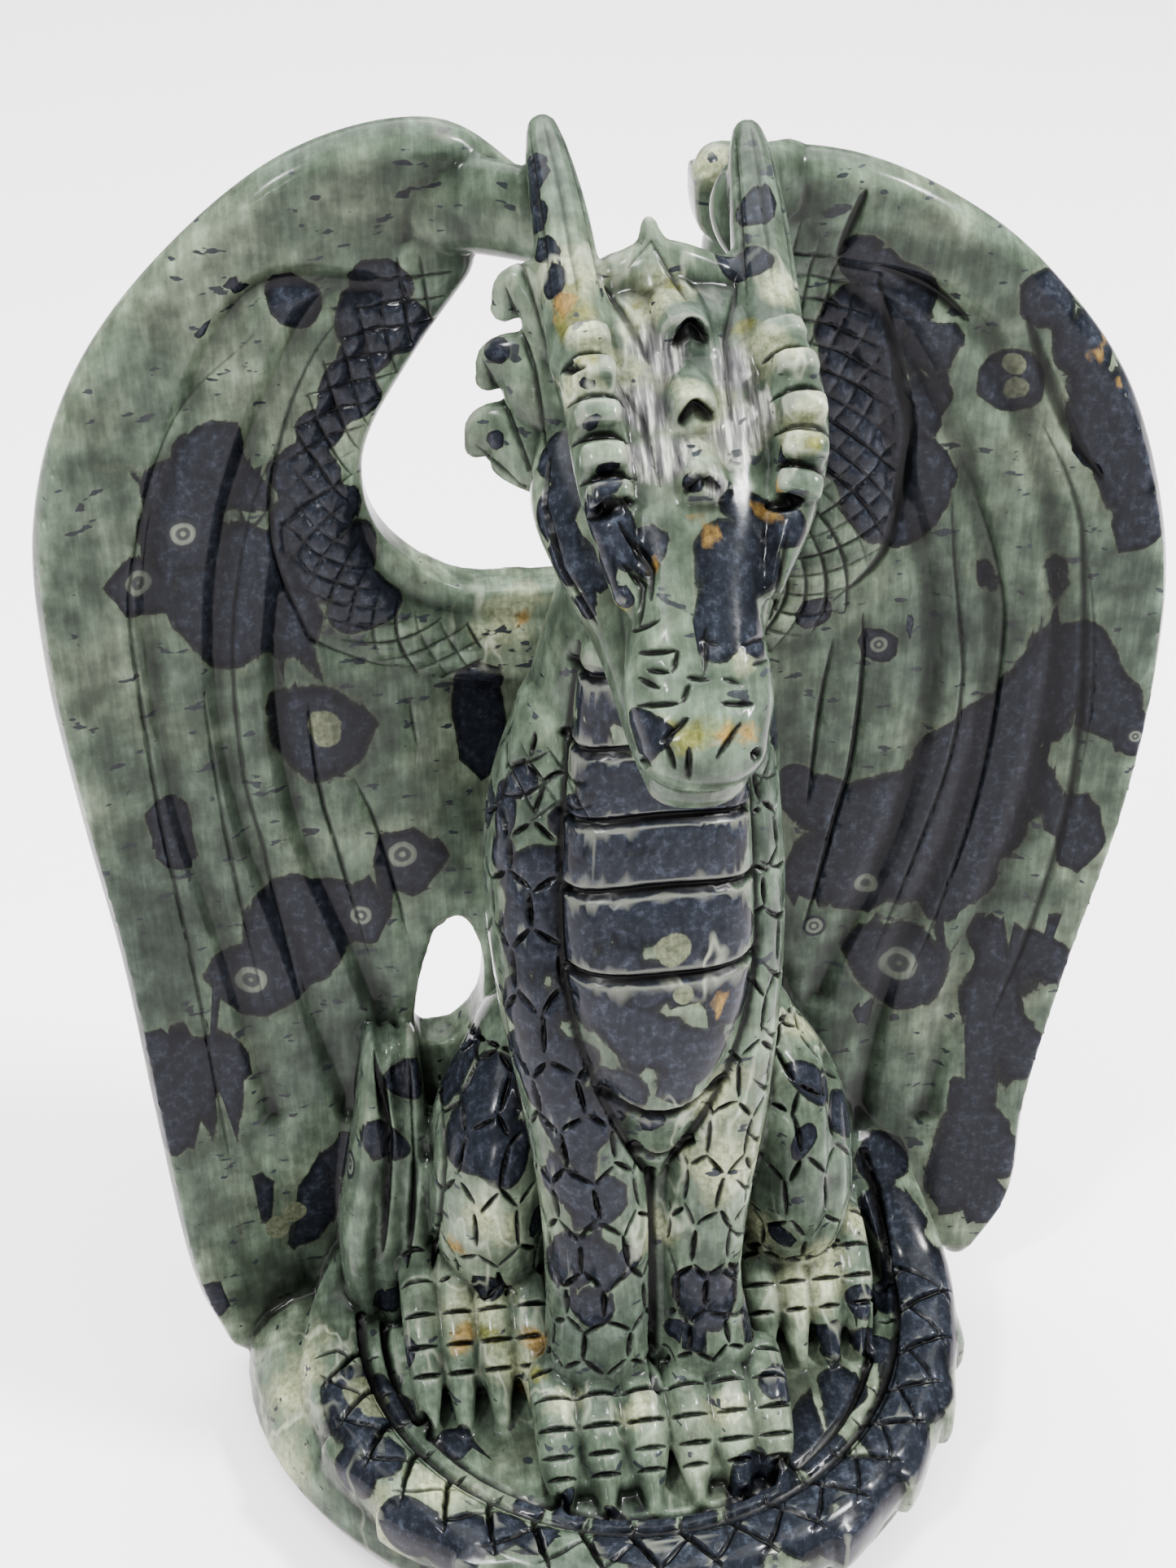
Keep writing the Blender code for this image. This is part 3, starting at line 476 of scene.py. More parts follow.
def wings(bm):
    """The wing sheet with its rounded edges, the scaly arms inside it and the low fingers on its back."""
    sheet = wing_sheet()
    bm.from_mesh(sheet.data)
    bpy.data.objects.remove(sheet)
    for side in (LEFT, RIGHT):
        rim = [(x - RIM_INSET, z) for x, z in WING_RIM[side]]
        tube(bm, wing_curve(rim, side, RIM_HALF, RIM_THICKNESS / 2), steps=1, around=12)
        arm = wing_curve(WING_ARM[side], side, ARM_HALF[side] * UNIT, WING_THICKNESS / 2 + ARM_RISE)
        tube(bm, arm, steps=1, around=20, square=3)
        wide, deep, sunk = FINGER_BACK
        for share in FINGER_SHARES:
            back = wing_curve(finger(side, share), side, wide * UNIT, deep, WING_THICKNESS / 2 - sunk)
            tube(bm, back, steps=1, around=12)
        tube(bm, placed(WING_JOIN[side], side), around=14)


def body(bm):
    tube(bm, placed(TORSO), around=28)
    tube(bm, placed(SPINE))
    tube(bm, placed(PANEL), square=2.6)
    tube(bm, placed(LEG_WEB))
    rows = catmull_rom(SPINE, 3)
    for x, y, z, _, deep in rows[3:]:
        spike = [(x, y + deep + back, z + up, wide, thick) for back, up, wide, thick in SPIKE]
        tube(bm, placed(spike), around=10)


def foot(bm, side, toe, places):
    """Toes side by side on one flat foot, which ends before their claws."""
    for place in places:
        tube(bm, placed([(place, *row[1:]) for row in toe], side), facing=UP, around=12, square=LEG_SQUARE)
    middle = (places[0] + places[-1]) / 2
    half = (places[-1] - places[0]) / 2 + FOOT_SPREAD
    sole = [(middle, y, z - FOOT_DROP, half, FOOT_DEPTH) for _, y, z, _, _ in toe[:-1]]
    tube(bm, placed(sole, side), facing=UP, square=3, ends=(1, 0.6))


def front_leg(bm, side):
    tube(bm, placed(FRONT_LEG[side], side), square=LEG_SQUARE)
    foot(bm, side, FRONT_TOE, FRONT_TOE_PLACES[side])


def hind_leg(bm, side):
    tube(bm, placed(THIGH, side))
    toe = [(x, y + HIND_FOOT_BACK[side], z, wide, deep) for x, y, z, wide, deep in HIND_TOE]
    foot(bm, side, toe, HIND_TOE_PLACES[side])


def head(bm):
    tube(bm, placed(SKULL), facing=CROWN, square=2.5, around=24, ends=(0.8, 0.8))
    tube(bm, placed(JAW), facing=CROWN, square=2.5, around=24, ends=(0.8, 0.8))
    tube(bm, placed(CREST), around=12)
    tube(bm, placed(CREST_SPIKE), around=10)
    for side in (LEFT, RIGHT):
        tube(bm, placed(BROW[side], side), facing=CROWN, around=14)
        tube(bm, placed(HORN[side], side), facing=CROWN, around=14)
        brow_blocks(bm, side)
        for z, reach in MANE_TIPS[side]:
            x, y, up, wide, deep = MANE_ROOT
            lobe = [(x, y, z + up, wide, deep)]
            lobe += [(reach + x, y, z + up, wide, deep) for x, y, up, wide, deep in MANE_LOBE]
            tube(bm, placed(lobe, side), around=12)
    for (y0, z0), (y1, z1), wide in SCUTES:
        middle = (0.6, (y0 + y1) / 2, (z0 + z1) / 2, wide, 2.6)
        ridge = [(0.4, y0, z0, wide * 0.7, 2.2), middle, (0.7, y1, z1, wide, 3)]
        tube(bm, placed(ridge), facing=CROWN, around=12, square=2.6, ends=(1, 0.1))


def brow_blocks(bm, side):
    """Short blocks in a row along a brow, with gaps between them."""
    half_length, half_width, half_height = BROW_BLOCK
    rows = frames(BROW[side][:-1], CROWN, 8)
    for i in range(BROW_BLOCKS):
        centre, along, _, depth, _, deep = rows[round((i + 0.5) / BROW_BLOCKS * (len(rows) - 1))]
        middle = centre + depth * (deep - 0.2)
        block = [(*(middle + along * way), half_width, half_height) for way in (-half_length, half_length)]
        tube(bm, placed(block, side), facing=CROWN, steps=2, around=12, square=3, ends=(0.25, 0.1))


def tail(bm):
    """The tail, from the back on the right, round the platform's edge to its tuft on the left."""
    stations = tail_ends(TAIL_START)
    for degrees in range(TAIL_ROOT_DEGREES, TAIL_END_DEGREES, -TAIL_STEP_DEGREES):
        rise = TAIL_RISE * UNIT * math.exp(-(((degrees - TAIL_ROOT_DEGREES) / TAIL_RISE_DEGREES) ** 2))
        stations.append((*on_ring(degrees), TAIL_LEVEL + rise, TAIL_WIDTH / 2, TAIL_HEIGHT / 2))
    tube(bm, stations + tail_ends(TAIL_FINISH), facing=UP, steps=3, around=18, square=TAIL_SQUARE)
    for degrees in range(PLATE_DEGREES, TAIL_END_DEGREES + PLATE_DEGREES, -PLATE_DEGREES):
        plate(bm, degrees)
    for share, lean in TUFT_STRANDS:
        strand = [
            (share * TAIL_RADIUS + x * lean * UNIT, y * UNIT, TAIL_LEVEL + z * UNIT, wide * UNIT, deep * UNIT)
            for x, y, z, wide, deep in TUFT_STATIONS
        ]
        tube(bm, strand, around=12)


def tail_ends(table):
    """Stations of the tail off the ring, from shares of its radius and heights above its level."""
    return [
        (x * TAIL_RADIUS, y * TAIL_RADIUS, TAIL_LEVEL + z * UNIT, wide * UNIT, deep * UNIT)
        for x, y, z, wide, deep in table
    ]


def on_ring(degrees, outward=0.0):
    """A point (x, y) of the circle that the tail lies on, or outward from it."""
    angle = math.radians(degrees)
    return (TAIL_RADIUS + outward) * math.cos(angle), (TAIL_RADIUS + outward) * math.sin(angle)


def plate(bm, degrees):
    """One long plate on the tail's outer side, which flares towards the tail's tip and ends in a step."""
    points = []
    for turn, outward, wide in PLATE:
        x, y = on_ring(degrees + turn, TAIL_WIDTH / 2 + outward)
        points.append((x, y, TAIL_LEVEL - PLATE_SINK, wide, PLATE_HALF_HEIGHT))
    tube(bm, points, facing=UP, around=14, square=3, ends=(0.5, 0.12))


def base(bm):
    """The rock below the platform, which reaches further on the left, and the low ring round the platform."""
    edge = TAIL_RADIUS + TAIL_WIDTH / 2 + BASE_MARGIN
    rings = []
    for share, height in BASE_PROFILE:
        z = height * PLATFORM_TOP
        rings.append([])
        for degrees in range(0, 360, BASE_STEP_DEGREES):
            lean = max(0, math.cos(math.radians(degrees - BASE_LEAN_DEGREES))) ** BASE_LEAN_POWER
            x, y = on_ring(degrees, share * (edge + BASE_LEAN * lean) - TAIL_RADIUS)
            rings[-1].append(bm.verts.new((x * MM, y * MM, z * MM)))
    bottom = bm.verts.new((0, 0, BASE_PROFILE[0][1] * PLATFORM_TOP * MM))
    top = bm.verts.new((0, 0, PLATFORM_TOP * MM))
    skin(bm, bottom, rings, top)
    ring_middle = PLATFORM_RADIUS + RING_WIDTH / 2 - TAIL_RADIUS
    loop = [
        (*on_ring(degrees, ring_middle), PLATFORM_TOP, RING_WIDTH / 2, RING_HEIGHT)
        for degrees in range(0, 360 + 2 * RING_STEP_DEGREES, RING_STEP_DEGREES)
    ]
    tube(bm, loop, facing=UP, steps=1, around=10)


def fused():
    """Every form above as one closed skin, with nothing left inside it."""
    bm = bmesh.new()
    base(bm)
    tail(bm)
    body(bm)
    for side in (LEFT, RIGHT):
        front_leg(bm, side)
        hind_leg(bm, side)
    head(bm)
    wings(bm)
    carving = new_object("dragon_carving_skin", bm)
    remesh = carving.modifiers.new("fuse", "REMESH")
    remesh.mode = "VOXEL"
    remesh.voxel_size = VOXEL * MM
    baked(carving)
    keep_outer_skin(carving)
    return carving


def keep_outer_skin(obj):
    """Removes every shell but the largest, so that no space is left sealed inside."""
    bm = bmesh.new()
    bm.from_mesh(obj.data)
    shells = []
    waiting = set(bm.verts)
    while waiting:
        seed = waiting.pop()
        shell, edge = [seed], [seed]
        while edge:
            near = [e.other_vert(v) for v in edge for e in v.link_edges]
            edge = list({v for v in near if v in waiting})
            waiting.difference_update(edge)
            shell.extend(edge)
        shells.append(shell)
    shells.sort(key=len)
    bmesh.ops.delete(bm, geom=[v for shell in shells[:-1] for v in shell], context="VERTS")
    bm.to_mesh(obj.data)
    bm.free()


def polish(obj, steps):
    smooth = obj.modifiers.new("polish", "SMOOTH")
    smooth.factor = 0.5
    smooth.iterations = steps
    baked(obj)


def thin_out(obj, triangles):
    """Fewer triangles, kept where the form turns most."""
    thin = obj.modifiers.new("facets", "DECIMATE")
    thin.ratio = triangles / (2 * len(obj.data.polygons))
    thin.use_collapse_triangulate = True
    baked(obj)


def sawn_flat(obj):
    """The underside is sawn flat at height zero."""
    bm = bmesh.new()
    bm.from_mesh(obj.data)
    every = bm.verts[:] + bm.edges[:] + bm.faces[:]
    sawn = bmesh.ops.bisect_plane(bm, geom=every, plane_co=(0, 0, 0), plane_no=(0, 0, 1), clear_inner=True)
    edges = [item for item in sawn["geom_cut"] if isinstance(item, bmesh.types.BMEdge)]
    bmesh.ops.triangle_fill(bm, edges=edges, use_beauty=True)
    bmesh.ops.recalc_face_normals(bm, faces=bm.faces[:])
    bm.to_mesh(obj.data)
    bm.free()


# A line thrown onto the skin starts this far off, and one on a limb this far outside the limb
THROW = 60.0
LIMB_THROW = 2.5
# A limb's line is left out where the skin lies this far from the limb
LIMB_MISS = 1.1
LIMB_MISS_LOOSE = 2.5
TAIL_MISS = 3
# Cuts on a limb vary in depth between these shares
DEPTH_SPREAD = (0.8, 1.2)
# A line drawn in the photograph has a point every so many pixels
PIXEL_STEP = 6
# The edges that each six-sided scale draws, from its middle, as pairs of shares of a cell (round, along)
SCALE_EDGES = (((-0.5, 1 / 3), (0, 2 / 3)), ((0, 2 / 3), (0.5, 1 / 3)), ((0.5, -1 / 3), (0.5, 1 / 3)))
SCALE_JITTER = 0.07
SCALE_POINTS = (0.06, 0.35, 0.65, 0.94)
# Faces are split this far beyond a stroke's edge
REFINE_MARGIN = 0.45
# How quickly a stroke deepens from its ends, and from its edge to its middle
END_POWER = 0.45
EDGE_POWER = 0.8
# A cut this deep gets the darkest painted shade, and the painted shade reaches its full strength this quickly
# from the edge
FULL_CUT = 0.8
CUT_SHADE_RISE = 1.6


def on_limb(limb, share, degrees, square):
    """A point on a limb's surface and the way out of it, 90 degrees being the way the limb faces."""
    place = min(max(share, 0), 0.9999) * (len(limb) - 1)
    low, t = int(place), place - int(place)
    centre, side, depth = (limb[low][k].lerp(limb[low + 1][k], t) for k in (0, 2, 3))
    wide, deep = (limb[low][k] * (1 - t) + limb[low + 1][k] * t for k in (4, 5))
    c, s = math.cos(math.radians(degrees)), math.sin(math.radians(degrees))
    x = math.copysign(abs(c) ** (2 / square), c) * wide
    y = math.copysign(abs(s) ** (2 / square), s) * deep
    return centre + side * x + depth * y, (side * (c / wide) + depth * (s / deep)).normalized()


class Chisel:
    """Gathers carved strokes, each a line on the skin with a half width and a depth."""

    def __init__(self, obj):
        mesh = obj.data
        faces = [tuple(p.vertices) for p in mesh.polygons]
        self.tree = BVHTree.FromPolygons([v.co for v in mesh.vertices], faces)
        self.lines = []
        self.random = np.random.default_rng(SEED)

    def stroke(self, points, wide, deep, kind="cut"):
        if len(points) > 1:
            self.lines.append((np.array(points), wide, deep, kind))

    def along_limb(self, limb, lines, wide, deep, square=2.0, miss=LIMB_MISS):
        """Lines of (share along the limb, degrees round it), left out where another part covers the limb."""
        for line in lines:
            points = []
            for share, degrees in line:
                point, out = on_limb(limb, share, degrees, square)
                hit = self.tree.ray_cast((point + out * LIMB_THROW) * MM, -out)[0]
                if hit and (hit / MM - point).length < miss:
                    points.append(hit / MM)
            vary = self.random.uniform(*DEPTH_SPREAD)
            self.stroke(points, wide, deep * vary)

    def from_front(self, points, wide, deep, way=(0, 1, 0), kind="cut", gap=4.0):
        """A line given in space, thrown onto the skin along a direction and broken where the skin steps."""
        way = Vector(way).normalized()
        run = []
        for point in points:
            hit = self.tree.ray_cast((Vector(point) - way * THROW) * MM, way)[0]
            if hit is None or (run and (hit / MM - run[-1]).length > gap + (Vector(point) - last).length * 2):
                self.stroke(run, wide, deep, kind)
                run = []
            if hit is not None:
                run.append(hit / MM)
                last = Vector(point)
        self.stroke(run, wide, deep, kind)

    def from_camera(self, pixels, wide, deep, kind="cut"):
        """A line given in the photograph's pixels, drawn with a point every few pixels."""
        points = []
        for (x0, y0), (x1, y1) in zip(pixels, pixels[1:]):
            count = max(2, round(math.dist((x0, y0), (x1, y1)) / PIXEL_STEP))
            for t in np.linspace(0, 1, count):
                hit = seen_at(self.tree, x0 + (x1 - x0) * t, y0 + (y1 - y0) * t)
                if hit is not None:
                    points.append(hit / MM)
        self.stroke(points, wide, deep, kind)

    def hexagons(self, limb, shares, degrees, rows, columns, wide, deep, square=2.0):
        """A lattice of six-sided scales whose edges are separate strokes."""
        lines = []
        v = (shares[1] - shares[0]) / rows
        w = (degrees[1] - degrees[0]) / columns
        for row in range(rows + 1):
            for column in range(columns + 1):
                u = shares[0] + v * row
                a = degrees[0] + w * (column + 0.5 * (row % 2))
                for (da, du), (ea, eu) in SCALE_EDGES:
                    jitter = self.random.uniform(-SCALE_JITTER, SCALE_JITTER, 4)
                    start = np.array([u + (du + jitter[0]) * v, a + (da + jitter[1]) * w])
                    end = np.array([u + (eu + jitter[2]) * v, a + (ea + jitter[3]) * w])
                    lines.append([start + (end - start) * t for t in SCALE_POINTS])
        self.along_limb(limb, lines, wide, deep, square)


def seen_at(tree, px, py):
    """Where the ray through a pixel of the photograph meets the carving, in metres."""
    right, down = px - PHOTO_SIZE[0] / 2, py - PHOTO_SIZE[1] / 2
    way = CAMERA_WAY * FOCAL_PIXELS + CAMERA_RIGHT * right - CAMERA_UP * down
    return tree.ray_cast(CAMERA_AT, way.normalized())[0]


def refine(obj, chisel):
    """Splits the faces that a stroke will cross, so that its edges stay crisp."""
    bm = bmesh.new()
    bm.from_mesh(obj.data)
    centres = np.array([f.calc_center_median() for f in bm.faces]) / MM
    near = np.zeros(len(centres), bool)
    for points, wide, _, kind in chisel.lines:
        if kind == "cut":
            inside, far = distance(centres, points, wide + REFINE_MARGIN)
            near[inside] |= far < wide + REFINE_MARGIN
    bm.faces.ensure_lookup_table()
    edges = list({edge for i in np.nonzero(near)[0] for edge in bm.faces[i].edges})
    bmesh.ops.subdivide_edges(bm, edges=edges, cuts=1, use_grid_fill=True)
    bm.to_mesh(obj.data)
    bm.free()


def distance(at, points, reach):
    """Indices of the places within reach of a line's box, and how far each is from the line."""
    low, high = points.min(0) - reach, points.max(0) + reach
    near = np.nonzero(np.all((at > low) & (at < high), axis=1))[0]
    far = np.full(len(near), reach * 2)
    for a, b in zip(points, points[1:]):
        span = b - a
        t = np.clip(((at[near] - a) @ span) / max(span @ span, 1e-9), 0, 1)
        far = np.minimum(far, np.linalg.norm(at[near] - a - t[:, None] * span, axis=1))
    return near, far


def taper(at, points, near):
    """How much of its full depth a stroke has beside each place: none at the ends, all in the middle."""
    start, end = points[0], points[-1]
    span = end - start
    t = np.clip(((at[near] - start) @ span) / max(span @ span, 1e-9), 0, 1)
    return np.clip(np.sin(math.pi * t), 0, 1) ** END_POWER


def carve(obj, chisel):
    """Pushes the skin in along every stroke: narrow cuts are V shaped, and flutes are round. It keeps the
    painted shade of the cuts for the shader.
    """
    mesh = obj.data
    count = len(mesh.vertices)
    at, normal = np.empty(count * 3), np.empty(count * 3)
    mesh.vertices.foreach_get("co", at)
    mesh.vertices.foreach_get("normal", normal)
    at, normal = at.reshape(-1, 3) / MM, normal.reshape(-1, 3)
    cuts, flutes, painted_cut_shade = np.zeros(count), np.zeros(count), np.zeros(count)
    for points, wide, deep, kind in chisel.lines:
        near, far = distance(at, points, wide)
        if kind == "flute":
            shape = np.cos(np.clip(far / wide, 0, 1) * math.pi / 2) ** 2
            flutes[near] = np.maximum(flutes[near], deep * shape)
            continue
        full = taper(at, points, near) if kind == "cut" else 1.0
        width = np.maximum(wide * full, 1e-6)
        inward = np.clip(1 - far / width, 0, 1)
        cuts[near] = np.maximum(cuts[near], deep * full * inward**EDGE_POWER)
        # Painted shade in the cut: darker the deeper the cut, and darkest in its middle
        dark = min(deep / FULL_CUT, 1) * np.clip(CUT_SHADE_RISE * inward, 0, 1)
        painted_cut_shade[near] = np.maximum(painted_cut_shade[near], dark)
    mesh.vertices.foreach_set("co", ((at - normal * (cuts + flutes)[:, None]) * MM).ravel())
    mesh.update()
    mark(obj, "cut", painted_cut_shade)


# Carved lines in the photograph's pixels, with half width and depth
FACE_CUTS = (
    (((722, 640), (748, 624), (782, 616)), 1.2, 1.8), (((940, 622), (965, 618), (990, 616)), 1.0, 1.4),
    (((777, 777), (812, 762)), 0.4, 0.6), (((783, 803), (833, 800)), 0.45, 0.7),
    (((795, 824), (824, 827)), 0.4, 0.6), (((783, 833), (812, 847)), 0.4, 0.6),
    (((833, 800), (827, 827)), 0.4, 0.6), (((842, 833), (874, 836)), 0.4, 0.6),
    (((783, 868), (836, 865)), 0.45, 0.7), (((847, 841), (839, 865)), 0.4, 0.6),
    (((847, 882), (812, 912)), 0.5, 0.7), (((886, 865), (927, 866)), 0.45, 0.7),
    (((912, 888), (880, 935)), 0.45, 0.7), (((818, 912), (830, 947)), 0.4, 0.7),
    (((847, 918), (847, 959)), 0.5, 0.8), (((859, 783), (883, 794)), 0.4, 0.5),
    (((912, 794), (941, 783)), 0.4, 0.5), (((924, 818), (944, 812)), 0.4, 0.5),
    (((888, 833), (912, 841)), 0.4, 0.5), (((868, 770), (866, 830)), 0.45, 0.5),
    (((786, 934), (800, 940)), 0.9, 1.2), (((924, 926), (936, 930)), 0.8, 1.1),
    (((826, 424), (851, 404), (872, 418)), 1.3, 1.5), (((832, 520), (855, 503), (880, 514)), 1.2, 1.5),
    (((838, 604), (862, 586), (886, 600)), 1.1, 1.3), (((690, 455), (722, 450)), 0.8, 1.1),
    (((460, 1290), (478, 1400), (470, 1540)), 0.9, 1.2),
    (((500, 1300), (512, 1420), (500, 1560)), 0.9, 1.2),
    (((540, 1320), (545, 1430), (532, 1560)), 0.9, 1.2), (((764, 690), (790, 720), (786, 770)), 0.6, 0.5),
    (((676, 560), (668, 620), (690, 700), (735, 770)), 0.6, 0.7),
    (((760, 640), (800, 700), (800, 740)), 0.7, 0.6), (((970, 650), (958, 720), (940, 780)), 0.5, 0.5),
    (((770, 330), (800, 295), (845, 370)), 0.5, 0.4), (((742, 350), (775, 400), (800, 450)), 0.7, 0.5),
    (((905, 350), (893, 420), (900, 520)), 0.7, 0.5), (((760, 470), (790, 520), (812, 600)), 0.7, 0.4),
    (((620, 350), (655, 450), (672, 560)), 0.5, 0.5), (((592, 440), (625, 510), (655, 590)), 0.5, 0.5),
    (((583, 545), (620, 580), (652, 610)), 0.5, 0.5), (((640, 320), (668, 420), (690, 500)), 0.5, 0.4),
)
# Narrow lines down the wings, then the wider grooves
WING_CUTS = (
    (((323, 400), (227, 500), (187, 587), (163, 700), (160, 767), (177, 887), (200, 1020), (240, 1200),
     (285, 1440)), 0.4, 0.35),
    (((353, 520), (313, 613), (293, 713), (287, 793), (290, 867), (303, 967), (327, 1053), (375, 1250)),
     0.4, 0.35),
    (((250, 847), (260, 920), (273, 1000), (287, 1067), (330, 1260)), 0.35, 0.3),
    (((377, 853), (393, 967), (420, 1060), (455, 1180)), 0.4, 0.4),
    (((433, 953), (460, 1007), (487, 1093), (500, 1150)), 0.4, 0.4), (((503, 860), (513, 920)), 0.35, 0.3),
    (((1176, 549), (1207, 631), (1227, 700), (1234, 761), (1224, 863), (1200, 980), (1160, 1100),
     (1110, 1220)), 0.4, 0.35),
    (((1169, 590), (1172, 672), (1179, 761), (1183, 836), (1165, 940), (1120, 1060), (1070, 1180)),
     0.4, 0.35),
    (((1060, 747), (1060, 816), (1046, 932), (1029, 993), (1005, 1080), (985, 1150)), 0.5, 0.5),
    (((1025, 781), (1008, 863), (991, 993)), 0.45, 0.4),
    (((1330, 645), (1345, 760), (1340, 880), (1318, 1000)), 0.35, 0.3),
)
WING_GROOVES = (
    (((420, 387), (387, 433), (357, 500), (337, 580), (333, 647), (343, 700), (373, 767), (387, 787),
     (433, 807), (487, 820), (553, 813)), 0.5, 0.4),
    (((1066, 231), (1050, 270), (1029, 317)), 0.9, 0.6),
    (((1080, 327), (1138, 354), (1193, 399)), 1.0, 0.6),
    (((1080, 337), (1101, 440), (1107, 474), (1118, 522), (1111, 590), (1094, 658), (1070, 700),
     (1022, 740)), 1.1, 0.55),
    (((1261, 385), (1295, 481), (1323, 542), (1357, 590)), 1.2, 0.5),
    (((1282, 522), (1312, 583), (1330, 645), (1333, 727), (1330, 863), (1312, 993), (1270, 1130),
     (1220, 1250)), 1.0, 0.4),
)
# Half width and depth of the strokes that are worked out rather than drawn
STROKES = {
    "hatch": (0.34, 0.42), "plate": (0.9, 1.2), "panel edge": (0.65, 0.6), "scale": (0.44, 0.85),
    "leg arc": (0.44, 0.8), "toe": (0.48, 0.9), "leg slot": (1.0, 1.3), "ring": (0.95, 1.2),
    "tail across": (0.55, 0.95), "tail aslant": (0.4, 0.6), "tail edge": (0.45, 0.6), "horn": (0.45, 0.3),
    "brow": (0.55, 0.7),
}
# Cuts across a toe, as shares of its length
TOE_CUTS = (0.04, 0.24, 0.42, 0.6, 0.76)
# Cuts that cross the tail: degrees between them, where they end, and the line along its outer edge
TAIL_SCALE = 9.5
TAIL_SCALE_END = -172
TAIL_EDGE_DEGREES = 56
# How far along the tail its cuts bend and slant, as shares of its length
TAIL_BEND = 0.016
TAIL_SLANT = 0.05
# Cuts that cross a wing's arm: distance between them, how they lean, and how far in they stay
HATCH_STEP = 3.7
HATCH_LEANS = (1.1, -0.9)
HATCH_REACH = (0.8, 1.0)
HATCH_DEPTHS = (0.6, 1.2)
HATCH_INSET = 0.3
# Scales: shares of the limb's length, degrees round it, rows and columns
LEG_SCALES = {LEFT: ((0.02, 0.94), (-20, 200), 11, 5), RIGHT: ((0.02, 0.94), (-20, 112), 11, 3)}
THIGH_SCALES = ((-0.3, 1.1), (-30, 210), 6, 6)
# Degrees round a limb where the points of each cut lie
ROUND = {
    "toe": range(25, 156, 10), "brow": range(10, 171, 16), "leg arc": range(105, 196, 8),
    "tail across": range(22, 134, 6), "tail aslant": range(62, 124, 6),
}
# The plates' cuts start this far right and back, and the panel's edge lies this share of its width out
PLATE_AT = (-0.6, -6)
PANEL_EDGE_SHARE = 1.02
# Shares of the right leg's length between which its arcs are cut, the step between them, and their bend
LEG_ARCS = (0.22, 0.93, 0.075)
LEG_ARC_BEND = 0.03
# The slot between the front legs: distance right and back, and its highest and lowest point
LEG_SLOT = (-1.6, -6, 38, 9)
# Radians round the platform between which the lines beside its ring are cut
RING_TURN = (-3.2, 0.3)
RING_GAP = 0.2
HORN_LINES = (40, 90, 140)


def carve_wings(chisel):
    for side in (LEFT, RIGHT):
        for share in FINGER_SHARES:
            line = [(x, 0, z) for x, z in wing_points(finger(side, share), side)]
            chisel.from_front(line, FLUTE_WIDTH / 2, FLUTE_DEPTH, kind="flute")
        hatch(chisel, side)
    for pixels, wide, deep in WING_CUTS + WING_GROOVES:
        chisel.from_camera(catmull_rom(pixels, 4), wide, deep)


def hatch(chisel, side):
    """Two families of short cuts that cross the arm of a wing aslant."""
    band = np.array(wing_points(WING_ARM[side], side))
    along = np.gradient(band, axis=0)
    along /= np.linalg.norm(along, axis=1)[:, None]
    far = np.concatenate([[0], np.cumsum(np.linalg.norm(np.diff(band, axis=0), axis=1))])
    half = (ARM_HALF[side] - HATCH_INSET) * UNIT
    wide, deep = STROKES["hatch"]
    for lean in HATCH_LEANS:
        for start in np.arange(HATCH_STEP / 2, far[-1], HATCH_STEP):
            reach = chisel.random.uniform(*HATCH_REACH, 2)
            points = []
            for t in np.linspace(-reach[0], reach[1], 13):
                at = start + lean * t * half
                if 0 < at < far[-1]:
                    x, z, ax, az = (np.interp(at, far, row) for row in (*band.T, *along.T))
                    points.append((x - az * t * half, 0, z + ax * t * half))
            chisel.from_front(points, wide, deep * chisel.random.uniform(*HATCH_DEPTHS))


def thrown(chisel, points, stroke, side=RIGHT):
    """A line given from the body's centre line and the platform's top, thrown on from the front."""
    line = [row[:3] for row in placed([(*point, 0, 0) for point in points], side)]
    chisel.from_front(line, *STROKES[stroke], kind="line")


def carve_body(chisel):
    heights = [row[2] for row in PANEL][::-1]
    x, y = PLATE_AT
    for height, rise in PANEL_CUTS:
        half = np.interp(height, heights, [row[3] for row in PANEL][::-1])
        arc = [(half * t + x, y, height + rise * (1 - t * t)) for t in np.linspace(-1, 1, 13)]
        thrown(chisel, arc, "plate")
    for side in (LEFT, RIGHT):
        edge = [(wide * PANEL_EDGE_SHARE + side * x, y, z) for x, y, z, wide, _ in catmull_rom(PANEL, 4)]
        thrown(chisel, edge, "panel edge", side)
        carve_front_leg(chisel, side)
        thigh = frames(placed(THIGH, side), FRONT, 5)
        chisel.hexagons(thigh, *THIGH_SCALES, *STROKES["scale"])
        for places, toe, back in (
            (FRONT_TOE_PLACES, FRONT_TOE, 0), (HIND_TOE_PLACES, HIND_TOE, HIND_FOOT_BACK[side]),
        ):
            for place in places[side]:
                limb = frames(placed([(place, row[1] + back, *row[2:]) for row in toe], side), UP, 5)
                for share in TOE_CUTS:
                    across = [(share, a) for a in ROUND["toe"]]
                    chisel.along_limb(limb, [across], *STROKES["toe"], LEG_SQUARE)
    x, y, top, bottom = LEG_SLOT
    thrown(chisel, [(x, y, z) for z in np.linspace(top, bottom, 13)], "leg slot")


def carve_front_leg(chisel, side):
    """Six-sided scales, and arcs down the outer side of the right leg."""
    leg = frames(placed(FRONT_LEG[side], side), FRONT, 5)
    chisel.hexagons(leg, *LEG_SCALES[side], *STROKES["scale"], LEG_SQUARE)
    if side == RIGHT:
        turns = ROUND["leg arc"]
        for share in np.arange(*LEG_ARCS):
            arc = [(share + LEG_ARC_BEND * math.sin(math.radians((a - turns[0]) * 2)), a) for a in turns]
            chisel.along_limb(leg, [arc], *STROKES["leg arc"], LEG_SQUARE)


